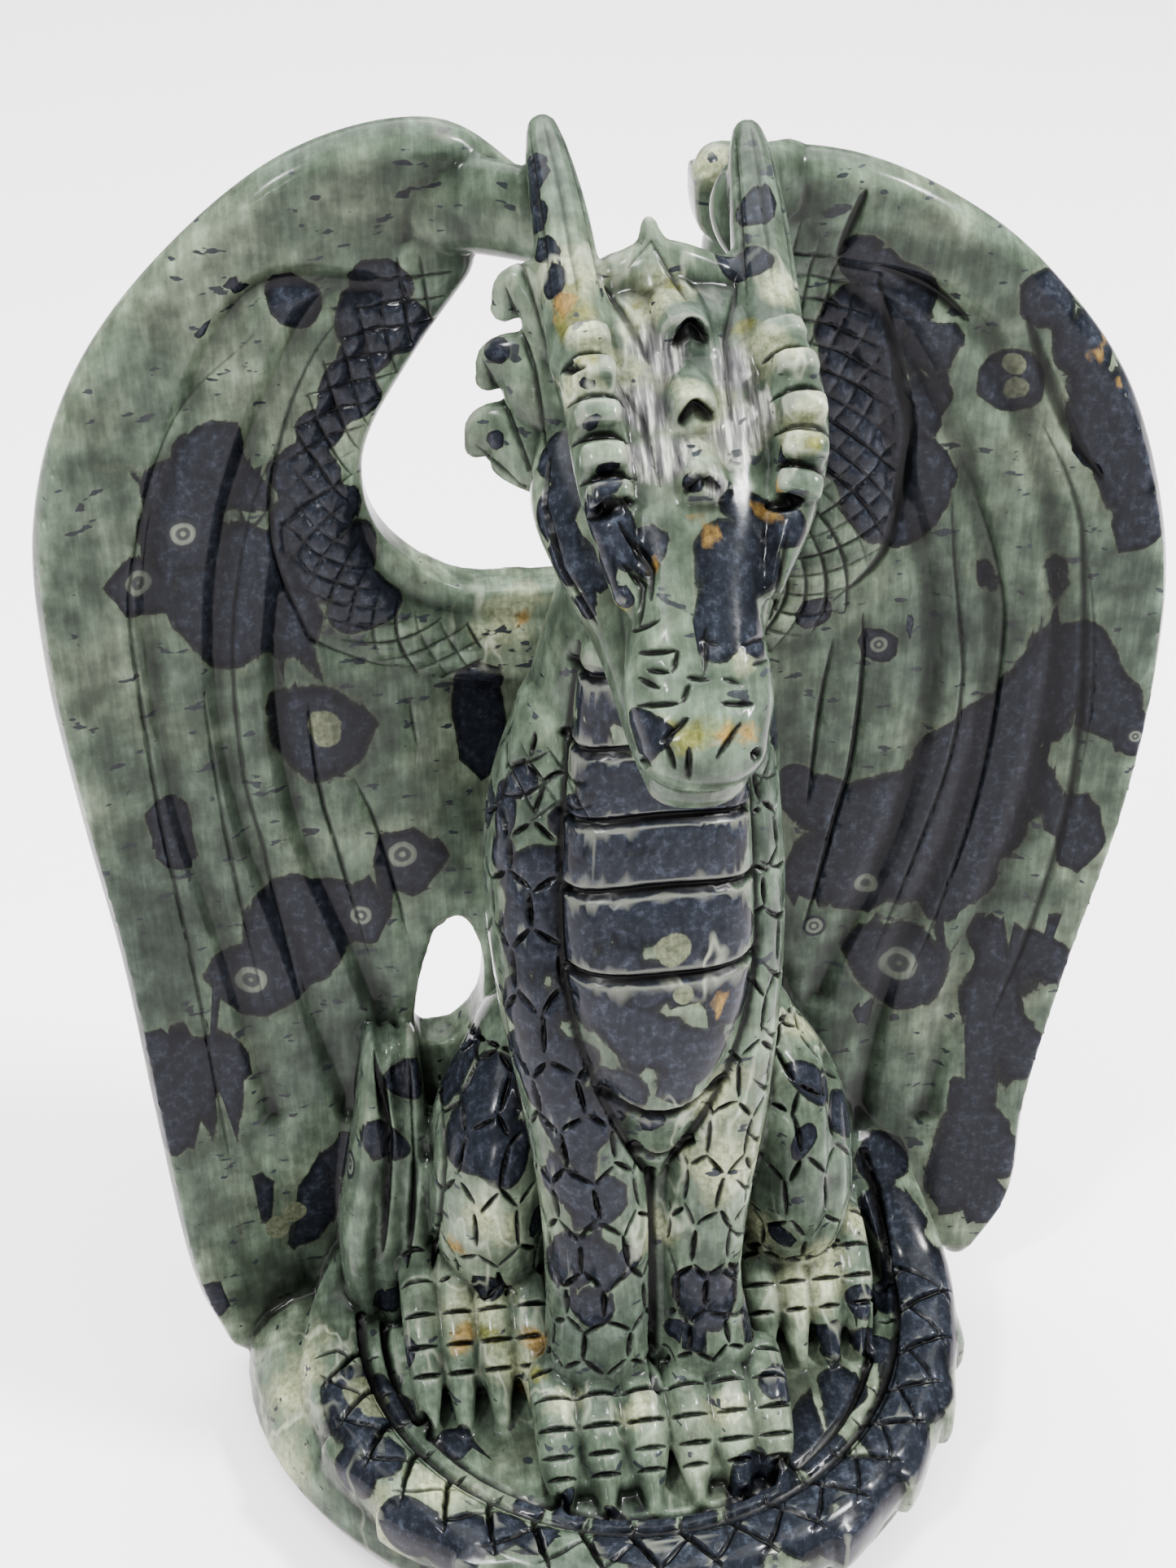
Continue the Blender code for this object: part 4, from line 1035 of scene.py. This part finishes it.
def carve_base(chisel):
    for radius in (PLATFORM_RADIUS - RING_GAP, PLATFORM_RADIUS + RING_WIDTH + RING_GAP):
        circle = [(radius * math.cos(t), radius * math.sin(t), 0) for t in np.linspace(*RING_TURN, 90)]
        chisel.from_front(circle, *STROKES["ring"], way=(0, 0, -1), kind="line")
    stations = [
        (*on_ring(degrees), TAIL_LEVEL, TAIL_WIDTH / 2, TAIL_HEIGHT / 2)
        for degrees in range(TAIL_ROOT_DEGREES, TAIL_END_DEGREES, -TAIL_STEP_DEGREES)
    ]
    ring = frames(stations, UP, 4)
    for degrees in np.arange(0, TAIL_SCALE_END, -TAIL_SCALE):
        share = (TAIL_ROOT_DEGREES - degrees) / 180
        across = [(share + TAIL_BEND * math.sin(math.radians(2 * a)), a) for a in ROUND["tail across"]]
        aslant = [(share + TAIL_SLANT * (a - 60) / 60, a) for a in ROUND["tail aslant"]]
        chisel.along_limb(ring, [across], *STROKES["tail across"], TAIL_SQUARE, TAIL_MISS)
        chisel.along_limb(ring, [aslant], *STROKES["tail aslant"], TAIL_SQUARE, TAIL_MISS)
    edge = [(share, TAIL_EDGE_DEGREES) for share in np.linspace(0.02, 0.98, 60)]
    chisel.along_limb(ring, [edge], *STROKES["tail edge"], TAIL_SQUARE, TAIL_MISS)


def carve_face(chisel):
    for pixels, wide, deep in FACE_CUTS:
        chisel.from_camera(pixels, wide, deep)
    for side in (LEFT, RIGHT):
        horn = frames(placed(HORN[side], side), CROWN, 5)
        for degrees in HORN_LINES:
            line = [(share, degrees) for share in np.linspace(0.15, 0.95, 12)]
            chisel.along_limb(horn, [line], *STROKES["horn"])
        brow = frames(placed(BROW[side][:-1], side), CROWN, 8)
        for gap in range(1, BROW_BLOCKS):
            across = [(gap / BROW_BLOCKS, a) for a in ROUND["brow"]]
            chisel.along_limb(brow, [across], *STROKES["brow"], miss=LIMB_MISS_LOOSE)


def skin_of_stone():
    carving = fused()
    polish(carving, POLISH_STEPS)
    chisel = Chisel(carving)
    carve_wings(chisel)
    carve_body(chisel)
    carve_base(chisel)
    carve_face(chisel)
    refine(carving, chisel)
    carve(carving, chisel)
    polish(carving, 1)
    thin_out(carving, TRIANGLES)
    sawn_flat(carving)
    fit(carving)
    return carving, chisel


def fit(obj):
    """The piece takes the exact box of the solid."""
    mesh = obj.data
    at = np.empty(len(mesh.vertices) * 3)
    mesh.vertices.foreach_get("co", at)
    at = at.reshape(-1, 3)
    low, high = at.min(0), at.max(0)
    want_low, want_high = np.array(CAD_BOX[0]), np.array(CAD_BOX[1])
    at = want_low + (at - low) * (want_high - want_low) / (high - low)
    mesh.vertices.foreach_set("co", at.ravel())
    mesh.update()


# Spots of the stone as the photograph shows them, and a few spots of painted shade in the left eye socket and
# brow notches: pixel, and radius in pixels
DARK_SPOTS = (
    # Left wing
    (255, 560, 45), (215, 605, 45), (290, 595, 40), (225, 655, 56), (172, 722, 42), (300, 690, 55),
    (285, 770, 62), (345, 765, 50), (340, 690, 40), (250, 735, 40), (365, 372, 38), (290, 350, 12),
    (190, 435, 10), (250, 405, 10), (470, 345, 36), (495, 400, 40), (450, 430, 36), (440, 490, 30),
    (385, 580, 35), (375, 650, 45), (400, 700, 50), (440, 745, 38), (400, 900, 68), (205, 1008, 32),
    (215, 1045, 30), (500, 1052, 50), (350, 1128, 56), (405, 1115, 42), (445, 1130, 38), (310, 1205, 58),
    (370, 1180, 50), (232, 1320, 52), (215, 1378, 48), (272, 1305, 42), (190, 1290, 28), (318, 1482, 48),
    (368, 1500, 46), (262, 1598, 30), (588, 835, 32), (590, 885, 34), (594, 935, 32), (600, 990, 24),
    (455, 390, 44), (425, 470, 36), (395, 530, 34), (380, 600, 44), (425, 625, 30), (430, 690, 44),
    (462, 745, 30), (120, 1125, 22), (90, 760, 9), (110, 1030, 10), (420, 1420, 34), (395, 1465, 26),
    # Right wing
    (1075, 330, 40), (1060, 420, 56), (1075, 520, 60), (1075, 600, 50), (1130, 620, 36), (1150, 590, 30),
    (1040, 500, 40), (1100, 375, 52), (1145, 430, 40), (1045, 390, 44), (1060, 470, 58), (1055, 555, 60),
    (1085, 620, 55), (1130, 560, 34), (1135, 500, 36), (1108, 640, 38), (1240, 468, 44), (1285, 370, 42),
    (1335, 430, 46), (1370, 500, 52), (1392, 570, 50), (1400, 640, 40), (1345, 545, 30), (1318, 812, 52),
    (1362, 865, 42), (1270, 862, 60), (1222, 905, 55), (1170, 930, 52), (1150, 985, 60), (1205, 1010, 60),
    (1232, 950, 58), (1095, 1000, 58), (1045, 1010, 48), (1008, 990, 42), (968, 965, 32), (1050, 1080, 48),
    (1130, 1062, 58), (1180, 1080, 48), (1000, 1070, 42), (1105, 1185, 64), (1318, 1002, 32),
    (1328, 1042, 30), (1232, 1165, 42), (1225, 1230, 46), (1250, 1292, 42), (1280, 1175, 36),
    (1192, 1392, 50), (1182, 1442, 46), (1225, 1420, 38), (1218, 1480, 34), (1200, 1530, 28),
    (1395, 905, 28), (1000, 755, 24), (1080, 792, 26), (952, 890, 34), (1190, 1330, 26), (1060, 1250, 14),
    (1120, 770, 10),
    # Head and neck
    (654, 200, 18), (655, 232, 21), (661, 268, 23), (669, 306, 24), (679, 344, 22), (690, 376, 16),
    (930, 255, 30), (905, 330, 24), (925, 320, 26), (683, 560, 34), (680, 625, 36), (690, 690, 34),
    (722, 700, 30), (735, 640, 32), (765, 655, 44), (800, 670, 26), (905, 690, 58), (935, 640, 44),
    (890, 755, 40), (925, 780, 26), (965, 640, 26), (845, 408, 16), (850, 592, 18), (720, 745, 20),
    (610, 430, 18), (608, 540, 14),
    # Chest and belly
    (740, 855, 46), (720, 930, 46), (790, 900, 40), (820, 1010, 62), (880, 1050, 55), (735, 1010, 50),
    (760, 1100, 62), (850, 1110, 60), (700, 1150, 50), (660, 1085, 46), (645, 1160, 44), (650, 1240, 44),
    (900, 1000, 40), (720, 1225, 50), (790, 1275, 50), (850, 1300, 50), (900, 1230, 40), (900, 1160, 34),
    (760, 1190, 34), (690, 1310, 50), (720, 1390, 46), (760, 1340, 40), (700, 1460, 34), (712, 1550, 42),
    (730, 1610, 30), (870, 1600, 48), (920, 1620, 34), (840, 1640, 26), (690, 1375, 44), (740, 1480, 40),
    (690, 1560, 34), (760, 1560, 26), (655, 1340, 28), (800, 1120, 50), (700, 1010, 40), (690, 1085, 44),
    (820, 1090, 50), (620, 1000, 26), (615, 1050, 24), (640, 960, 22), (760, 960, 40), (830, 1340, 26),
    # (745, 590), (728, 520) and (722, 470) are painted shade in the left eye socket and the notches of the
    # left brow
    (800, 1380, 18), (745, 590, 22), (728, 520, 14), (722, 470, 10), (960, 560, 12), (745, 700, 20),
    (765, 735, 16),
    # Haunches
    (560, 1310, 40), (600, 1340, 46), (580, 1400, 48), (620, 1430, 36), (640, 1300, 34), (500, 1330, 30),
    (470, 1400, 28), (1000, 1330, 32), (1040, 1370, 34), (1085, 1420, 38), (1100, 1490, 40),
    (990, 1400, 18), (960, 1520, 20), (480, 1600, 24), (500, 1660, 18), (660, 1500, 22), (850, 1205, 38),
    (800, 1215, 30), (893, 1215, 30), (860, 1150, 26), (905, 1120, 24),
    # Base
    (650, 1852, 20), (700, 1864, 24), (752, 1872, 26), (805, 1875, 26), (858, 1874, 26), (910, 1868, 26),
    (960, 1855, 30), (1000, 1835, 32), (1025, 1810, 30), (450, 1718, 56), (440, 1800, 38), (470, 1790, 30),
    (500, 1880, 46), (560, 1905, 44), (620, 1880, 30), (760, 1893, 36), (850, 1900, 40), (940, 1835, 50),
    (1000, 1785, 46), (1025, 1715, 42), (1030, 1650, 30), (1110, 1560, 44), (1140, 1620, 46),
    (1130, 1700, 50), (1110, 1780, 48), (1080, 1845, 46), (1040, 1900, 40), (1165, 1540, 26),
    (900, 1915, 40), (960, 1700, 30), (800, 1915, 30), (1090, 1490, 34), (1120, 1660, 44), (1145, 1570, 40),
    (1100, 1740, 40), (1060, 1820, 44), (980, 1870, 44), (920, 1880, 36), (660, 1890, 26), (560, 1775, 24),
    (1060, 1600, 22), (1075, 1655, 26), (600, 1580, 22),
)
# Ringed eyes and plain pale cores within the spots
EYES = (
    (495, 1050, 27), (443, 1126, 20), (308, 1206, 30), (225, 656, 24), (172, 718, 27), (1065, 1088, 22),
    (1000, 1138, 16), (1103, 1186, 36), (430, 1430, 20), (1080, 792, 16), (1395, 905, 12),
)
CORES = (
    (826, 1168, 25), (840, 1224, 15), (398, 890, 22), (402, 902, 18), (1245, 450, 16), (1248, 480, 17),
    (452, 1712, 30), (462, 1728, 22), (340, 1508, 18), (362, 1490, 16), (172, 720, 9),
)
# Pale yellow-green places
PALE_SPOTS = (
    (690, 330, 60), (710, 400, 40), (940, 420, 50), (800, 380, 60), (780, 460, 50), (960, 350, 40),
    (905, 800, 24), (990, 520, 40), (700, 470, 40), (900, 1430, 70), (880, 1350, 50), (985, 1260, 40),
    (850, 1190, 34), (920, 1500, 50), (800, 1500, 40), (690, 1725, 30), (780, 1740, 26), (890, 1735, 32),
    (590, 1610, 60), (640, 1680, 50), (1000, 1560, 60), (470, 1880, 60), (540, 1830, 40), (370, 1700, 60),
    (350, 1800, 60), (620, 760, 50), (850, 480, 40), (900, 520, 60), (600, 1500, 40), (1050, 1500, 30),
    (870, 200, 40),
)
OCHRE_SPOTS = (
    (872, 650, 26), (935, 628, 20), (884, 1228, 14), (880, 1250, 13), (690, 375, 22), (920, 900, 26),
    (662, 1650, 26), (640, 1700, 20), (1345, 440, 16), (1375, 470, 12), (560, 1530, 20), (570, 1640, 22),
    (470, 215, 20), (640, 760, 18), (800, 700, 10), (955, 600, 12), (745, 555, 8), (890, 905, 22),
)
# Olive-yellow places, and the grey streaked forehead
YELLOW_SPOTS = (
    (880, 890, 36), (850, 905, 34), (820, 890, 20), (700, 395, 34), (690, 345, 28), (722, 440, 18),
    (915, 400, 22), (600, 1640, 22), (780, 380, 20), (830, 350, 18), (1000, 545, 16), (830, 1215, 30),
    (870, 1225, 22), (660, 1690, 18), (765, 745, 16),
)
GREY_SPOTS = (
    (800, 430, 42), (795, 500, 48), (815, 560, 44), (900, 450, 40), (905, 530, 44), (890, 600, 28),
    (775, 560, 26), (935, 500, 24), (800, 900, 14), (760, 1000, 20),
)
# Spots scattered over the back: how many, where in millimetres (x, then z), and their radii
SPOTS_BEHIND = 90
BEHIND_RIGHT, BEHIND_UP, BEHIND_RADII = (-66, 70), (0, 170), (1.5, 6)
BEHIND_FROM = 150
# Slow waves that turn round spots irregular: reach, wave length and phase
WAVES = ((0.9, 17.0, 0.0), (0.3, 7.0, 1.7))
# Distances to a spot are capped at this many of its radii
FARTHEST = 3.0
# Smoothing steps that a hollow is measured against, and the depth in millimetres from ridge to hollow
HOLLOW_ROUNDS = 14
HOLLOW_REACH = 1.2


def spot_places(tree, spots):
    """The middle and radius in millimetres of each spot, on the stone's skin."""
    found = []
    for px, py, radius in spots:
        at = seen_at(tree, px, py)
        if at is not None:
            found.append((*(at / MM), radius * (at - CAMERA_AT).dot(CAMERA_WAY) / FOCAL_PIXELS / MM))
    return np.array(found)


def spots_behind(tree, chisel):
    """Spots scattered over the back, where the photograph doesn't look."""
    found = []
    while len(found) < SPOTS_BEHIND:
        x, z = chisel.random.uniform(*BEHIND_RIGHT), chisel.random.uniform(*BEHIND_UP)
        hit = tree.ray_cast(Vector((x, BEHIND_FROM, z)) * MM, FRONT)[0]
        if hit is not None:
            found.append((x, hit.y / MM + 1, z, chisel.random.uniform(*BEHIND_RADII)))
    return np.array(found)


def warp(at):
    """Points moved by a few slow waves, so that round spots turn irregular."""
    moved = at.copy()
    for reach, wave, phase in WAVES:
        for axis in range(3):
            along = at[:, (axis + 1) % 3] + 0.6 * at[:, (axis + 2) % 3]
            moved[:, axis] += reach * np.sin(2 * math.pi * along / wave + phase + axis)
    return moved


def nearest_spot(at, spots):
    """Distance to the nearest spot as a share of its radius."""
    best = np.full(len(at), FARTHEST)
    moved, middles = warp(at), warp(spots[:, :3])
    for middle, radius in zip(middles, spots[:, 3]):
        best = np.minimum(best, np.linalg.norm(moved - middle, axis=1) / radius)
    return best


def mark(obj, name, values):
    """Keeps a number for each vertex, which the stone's shader reads."""
    field = obj.data.attributes.new(name, "FLOAT", "POINT")
    field.data.foreach_set("value", np.ascontiguousarray(values, np.float32))


def hollows(mesh, at, rounds):
    """How far each vertex lies below a smoothed copy of the skin, in millimetres."""
    normal, ends = np.empty(len(at) * 3), np.empty(len(mesh.edges) * 2, np.int32)
    mesh.vertices.foreach_get("normal", normal)
    mesh.edges.foreach_get("vertices", ends)
    a, b = ends.reshape(-1, 2).T
    beside = np.bincount(ends, minlength=len(at))[:, None]
    smooth = at.copy()
    for _ in range(rounds):
        sums = [np.bincount(a, row[b], len(at)) + np.bincount(b, row[a], len(at)) for row in smooth.T]
        smooth = (smooth + np.stack(sums, 1) / beside) / 2
    return ((smooth - at) * normal.reshape(-1, 3)).sum(1)


def mark_spots(obj, chisel):
    at = np.empty(len(obj.data.vertices) * 3)
    obj.data.vertices.foreach_get("co", at)
    at = at.reshape(-1, 3) / MM
    # The hollow field drives the painted shade in the hollows and the painted highlights on the ridges
    mark(obj, "hollow", np.clip(0.5 + hollows(obj.data, at, HOLLOW_ROUNDS) / HOLLOW_REACH, 0, 1))
    dark = np.vstack([spot_places(chisel.tree, DARK_SPOTS), spots_behind(chisel.tree, chisel)])
    mark(obj, "dark", nearest_spot(at, dark))
    tables = {"pale": PALE_SPOTS, "ochre": OCHRE_SPOTS, "yellow": YELLOW_SPOTS, "grey": GREY_SPOTS}
    for name, spots in tables.items():
        mark(obj, name, nearest_spot(at, spot_places(chisel.tree, spots)))


class Nodes:
    """Short ways to add shader nodes and link them."""

    def __init__(self, material):
        material.use_nodes = True
        self.tree = material.node_tree
        self.shader = self.tree.nodes["Principled BSDF"]

    def add(self, kind, **values):
        node = self.tree.nodes.new(kind)
        for name, value in values.items():
            setattr(node, name, value)
        return node

    def feed(self, socket, source):
        if isinstance(source, bpy.types.NodeSocket):
            self.tree.links.new(source, socket)
        else:
            socket.default_value = source

    def math(self, operation, a, b=0.0, c=None):
        node = self.add("ShaderNodeMath", operation=operation)
        for socket, source in zip(node.inputs, (a, b) if c is None else (a, b, c)):
            self.feed(socket, source)
        return node.outputs[0]

    def vector(self, operation, a, b):
        node = self.add("ShaderNodeVectorMath", operation=operation)
        self.feed(node.inputs[0], a)
        self.feed(node.inputs[1], b)
        return node.outputs["Value" if operation == "DISTANCE" else "Vector"]

    def noise(self, at, scale, detail=3.0, rough=0.5):
        node = self.add("ShaderNodeTexNoise")
        self.feed(node.inputs["Vector"], at)
        node.inputs["Scale"].default_value = scale
        node.inputs["Detail"].default_value = detail
        node.inputs["Roughness"].default_value = rough
        return node.outputs["Fac"]

    def ramp(self, factor, stops):
        """Colours or greys at places from 0 to 1."""
        node = self.add("ShaderNodeValToRGB")
        elements = node.color_ramp.elements
        while len(elements) < len(stops):
            elements.new(0.5)
        for element, (place, colour) in zip(elements, stops):
            element.position = place
            element.color = (colour,) * 3 + (1,) if isinstance(colour, (int, float)) else (*colour, 1)
        self.feed(node.inputs["Fac"], factor)
        return node.outputs["Color"]

    def mix(self, factor, a, b, blend="MIX"):
        node = self.add("ShaderNodeMix", data_type="RGBA", blend_type=blend)
        self.feed(node.inputs[0], factor)
        self.feed(node.inputs[6], a)
        self.feed(node.inputs[7], b)
        return node.outputs[2]

    def field(self, name):
        return self.add("ShaderNodeAttribute", attribute_name=name).outputs["Fac"]

    def nearest(self, at, spots):
        """Distance to the nearest spot as a share of its radius."""
        best = FARTHEST
        for x, y, z, radius in spots * MM:
            far = self.math("DIVIDE", self.vector("DISTANCE", at, (x, y, z)), radius)
            best = self.math("MINIMUM", best, far)
        return best

    def ragged(self, field, noise, reach):
        """A distance field with its edges made ragged."""
        return self.math("MULTIPLY_ADD", self.math("SUBTRACT", noise, 0.5), reach, field)


# Noises in the stone: scale, detail and roughness, and how each is stretched
NOISES = {
    "coarse": (42, 4, 0.6), "medium": (260, 5, 0.6), "fine": (1300, 4, 0.65), "streak": (520, 4, 0.6),
    "hair": (1700, 3, 0.6), "fleck": (300, 2, 0.5), "vein": (95, 3, 0.6), "grain": (900, 5, 0.75),
}
STRETCHED = {
    "streak": (1.0, 1.0, 0.25), "hair": (1.0, 0.1, 0.1), "fleck": (1.0, 1.0, 2.4), "vein": (1.0, 0.6, 0.5),
}
# Patches over the ground: how ragged, the ramp of the edge from the middle outward, the noise and its colours
PATCHES = {
    "pale": (1.5, ((0.3, 0.85), (1.0, 0.0)),
             "fine", ((0.35, (0.075, 0.087, 0.045)), (0.65, (0.2, 0.212, 0.13)))),
    "grey": (1.6, ((0.5, 0.9), (1.0, 0.0)),
             "hair", ((0.36, (0.03, 0.028, 0.031)), (0.5, (0.085, 0.083, 0.086)), (0.64, (0.3, 0.3, 0.265)))),
    "yellow": (1.4, ((0.45, 0.95), (1.0, 0.0)),
               "fine", ((0.3, (0.022, 0.024, 0.006)), (0.7, (0.075, 0.078, 0.022)))),
    "ochre": (2.0, ((0.5, 0.8), (1.0, 0.0)),
              "fine", ((0.3, (0.045, 0.027, 0.006)), (0.7, (0.15, 0.092, 0.024)))),
}
RAMPS = {
    "ground": ((0.32, (0.018, 0.025, 0.019)), (0.5, (0.031, 0.043, 0.030)), (0.64, (0.062, 0.077, 0.053))),
    "sponge": ((0.38, 0.62), (0.52, 1.0), (0.66, 1.5)),
    "streak": ((0.3, 0.72), (0.5, 1.0), (0.72, 1.45)),
    "fleck": ((0.655, 0.0), (0.675, 1.0)),
    "vein": ((0.475, 0.0), (0.498, 0.4), (0.502, 0.4), (0.525, 0.0)),
    "beside pale": ((0.3, 0.9), (0.55, 0.0)),
    "stain": ((0.36, (0.0060, 0.0072, 0.0098)), (0.45, (0.0028, 0.0034, 0.0048)),
              (0.505, (0.006, 0.007, 0.006)), (0.53, (0.04, 0.043, 0.026))),
    "stain edge": ((0.5, 1.0), (0.512, 0.4), (0.56, 0.0)),
    "grain": ((0.42, 0.7), (0.53, 1.0), (0.64, 2.2)),
    "core": ((0.35, (0.026, 0.031, 0.018)), (0.65, (0.06, 0.066, 0.042))),
    "core edge": ((0.85, 1.0), (0.97, 0.0)),
    "eye": (
        (0.0, (0.085, 0.09, 0.07)), (0.13, (0.07, 0.078, 0.058)), (0.2, (0.018, 0.021, 0.02)),
        (0.36, (0.02, 0.023, 0.022)), (0.45, (0.066, 0.075, 0.058)), (0.62, (0.05, 0.06, 0.048)),
        (0.7, (0.009, 0.01, 0.012)), (1.0, (0.006, 0.007, 0.009)),
    ),
    "eye edge": ((0.85, 1.0), (1.0, 0.0)),
    "hair": ((0.36, 0.88), (0.5, 1.0), (0.66, 1.22)),
    # Painted highlight on the ridges and painted shade in the hollows
    "painted shade and highlight": ((0.2, 1.65), (0.43, 1.1), (0.5, 1.0), (0.6, 0.72), (0.85, 0.16)),
    # Painted highlight on the sharpest ridges
    "painted ridge highlight": ((0.0, 0.35), (0.12, 0.0)),
    # Painted shade that darkens the cuts
    "carved": ((0.15, 1.0), (0.5, 0.3), (0.9, 0.06)),
    "polish lost": ((0.1, 0.16), (0.5, 0.5)),
    "shine": ((0.3, 0.12), (0.7, 0.3)),
}
FLECK_COLOUR = (0.012, 0.014, 0.015, 1)
VEIN_COLOUR = (0.26, 0.28, 0.21, 1)
# Colour of the painted highlight on the sharpest ridges
RIDGE_HIGHLIGHT_COLOUR = (0.2, 0.21, 0.17, 1)
# How ragged the edges of the dark spots, the cores and the eyes are
STAIN_RAGGED = (("medium", 0.2), ("fine", 0.07))
CORE_RAGGED = 0.9
EYE_RAGGED = 0.3
# Distances to a spot times these shares fit a ramp, which ends at 1
STAIN_SCALE = 0.5
PALE_SCALE = 0.33
SPECULAR = 0.08
# Strength of the polished skin's faint unevenness, and its height in metres
BUMP_STRENGTH = 0.15
BUMP_HEIGHT = 0.00015


def stone(tree):
    """Glossy green jasper with dark spots, ringed eyes, pale clouds and ochre stains, with painted shade in
    its hollows and cuts and painted highlights on its ridges.
    """
    material = bpy.data.materials.new("jasper")
    nodes = Nodes(material)
    at = nodes.add("ShaderNodeTexCoord").outputs["Object"]
    noise = {name: nodes.noise(at, *NOISES[name]) for name in NOISES if name not in STRETCHED}
    for name, stretch in STRETCHED.items():
        noise[name] = nodes.noise(nodes.vector("MULTIPLY", at, stretch), *NOISES[name])

    def patch(colour, name):
        ragged, edge, grain, colours = PATCHES[name]
        mask = nodes.ramp(nodes.ragged(nodes.field(name), noise["medium"], ragged), edge)
        return nodes.mix(mask, colour, nodes.ramp(noise[grain], colours))

    def shade(colour, factor, name):
        return nodes.mix(1.0, colour, nodes.ramp(factor, RAMPS[name]), "MULTIPLY")

    colour = nodes.ramp(noise["coarse"], RAMPS["ground"])
    colour = shade(colour, noise["medium"], "sponge")
    colour = shade(colour, noise["streak"], "streak")
    for name in ("pale", "grey", "yellow"):
        colour = patch(colour, name)
    colour = nodes.mix(nodes.ramp(noise["fleck"], RAMPS["fleck"]), colour, FLECK_COLOUR)

    dark = nodes.field("dark")
    for name, ragged in STAIN_RAGGED:
        dark = nodes.ragged(dark, noise[name], ragged)
    near = nodes.math("MULTIPLY", dark, STAIN_SCALE)
    stain = shade(nodes.ramp(near, RAMPS["stain"]), noise["grain"], "grain")
    colour = nodes.mix(nodes.ramp(near, RAMPS["stain edge"]), colour, stain)
    beside_pale = nodes.ramp(nodes.math("MULTIPLY", nodes.field("pale"), PALE_SCALE), RAMPS["beside pale"])
    vein = nodes.math("MULTIPLY", nodes.ramp(noise["vein"], RAMPS["vein"]), beside_pale)
    colour = patch(nodes.mix(vein, colour, VEIN_COLOUR), "ochre")

    cores = nodes.ragged(nodes.nearest(at, spot_places(tree, CORES)), noise["medium"], CORE_RAGGED)
    core = nodes.ramp(noise["fine"], RAMPS["core"])
    colour = nodes.mix(nodes.ramp(cores, RAMPS["core edge"]), colour, core)
    eyes = nodes.ragged(nodes.nearest(at, spot_places(tree, EYES)), noise["medium"], EYE_RAGGED)
    colour = nodes.mix(nodes.ramp(eyes, RAMPS["eye edge"]), colour, nodes.ramp(eyes, RAMPS["eye"]))

    hollow, cuts = nodes.field("hollow"), nodes.field("cut")
    colour = shade(colour, noise["hair"], "hair")
    # Painted highlight on the ridges and painted shade in the hollows
    colour = shade(colour, hollow, "painted shade and highlight")
    # Painted highlight on the sharpest ridges
    colour = nodes.mix(nodes.ramp(hollow, RAMPS["painted ridge highlight"]), colour, RIDGE_HIGHLIGHT_COLOUR)
    # Painted shade in the cuts
    nodes.feed(nodes.shader.inputs["Base Color"], shade(colour, cuts, "carved"))
    lost, shine = nodes.ramp(cuts, RAMPS["polish lost"]), nodes.ramp(noise["fine"], RAMPS["shine"])
    nodes.feed(nodes.shader.inputs["Roughness"], nodes.mix(0.5, lost, shine))
    nodes.shader.inputs["Metallic"].default_value = 0.0
    nodes.shader.inputs["Specular IOR Level"].default_value = SPECULAR
    bump = nodes.add("ShaderNodeBump")
    bump.inputs["Strength"].default_value = BUMP_STRENGTH
    bump.inputs["Distance"].default_value = BUMP_HEIGHT
    nodes.feed(bump.inputs["Height"], noise["medium"])
    nodes.feed(nodes.shader.inputs["Normal"], bump.outputs["Normal"])
    return material


FLOOR_HALF = 4
FLOOR_COLOUR = (0.86, 0.81, 0.84, 1)
FLOOR_ROUGHNESS = 0.8


def plain_floor():
    bm = bmesh.new()
    bmesh.ops.create_grid(bm, x_segments=1, y_segments=1, size=FLOOR_HALF)
    floor = new_object("floor", bm)
    material = bpy.data.materials.new("floor")
    nodes = Nodes(material)
    nodes.shader.inputs["Base Color"].default_value = FLOOR_COLOUR
    nodes.shader.inputs["Roughness"].default_value = FLOOR_ROUGHNESS
    floor.data.materials.append(material)


# Soft lamps: place, what it faces, side length and brightness of its face
LAMPS = {
    "overhead": ((0.0, 0.35, 1.1), (0, 0.1, 0), 1.6, 8.5),
    "left key": ((-0.35, -0.3, 0.6), (0, 0, 0.1), 0.07, 500.0),
    "right key": ((0.42, -0.1, 0.55), (0, 0, 0.1), 0.07, 800.0),
    "front": ((-0.3, -0.9, 0.35), (0, 0, 0.1), 0.1, 110.0),
}
WORLD_COLOUR = (0.95, 0.93, 0.95, 1)
WORLD_STRENGTH = 0.6
SENSOR_WIDTH = 36.0


def studio_light():
    world = bpy.data.worlds.new("studio")
    world.use_nodes = True
    sky = world.node_tree.nodes["Background"]
    sky.inputs["Color"].default_value = WORLD_COLOUR
    sky.inputs["Strength"].default_value = WORLD_STRENGTH
    bpy.context.scene.world = world
    for name, (at, target, size, bright) in LAMPS.items():
        light = bpy.data.lights.new(name, "AREA")
        light.size = size
        light.energy = bright * math.pi * size**2
        lamp = bpy.data.objects.new(name, light)
        lamp.location = at
        lamp.rotation_mode = "QUATERNION"
        lamp.rotation_quaternion = (Vector(target) - Vector(at)).to_track_quat("-Z", "Y")
        bpy.context.scene.collection.objects.link(lamp)


def photo_camera():
    data = bpy.data.cameras.new("photo")
    data.sensor_width = SENSOR_WIDTH
    data.lens = FOCAL_PIXELS / max(PHOTO_SIZE) * data.sensor_width
    data.clip_start, data.clip_end = 0.01, 20
    camera = bpy.data.objects.new("photo", data)
    turn = Matrix((CAMERA_RIGHT, CAMERA_UP, -CAMERA_WAY)).transposed()
    camera.matrix_world = Matrix.Translation(CAMERA_AT) @ turn.to_4x4()
    bpy.context.scene.collection.objects.link(camera)
    bpy.context.scene.camera = camera


def main():
    carving, chisel = skin_of_stone()
    mark_spots(carving, chisel)
    carving.data.materials.clear()
    carving.data.materials.append(stone(chisel.tree))
    carving.data.shade_smooth()
    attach(carving, "root")
    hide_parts("dragon_carving")
    plain_floor()
    studio_light()
    photo_camera()


main()
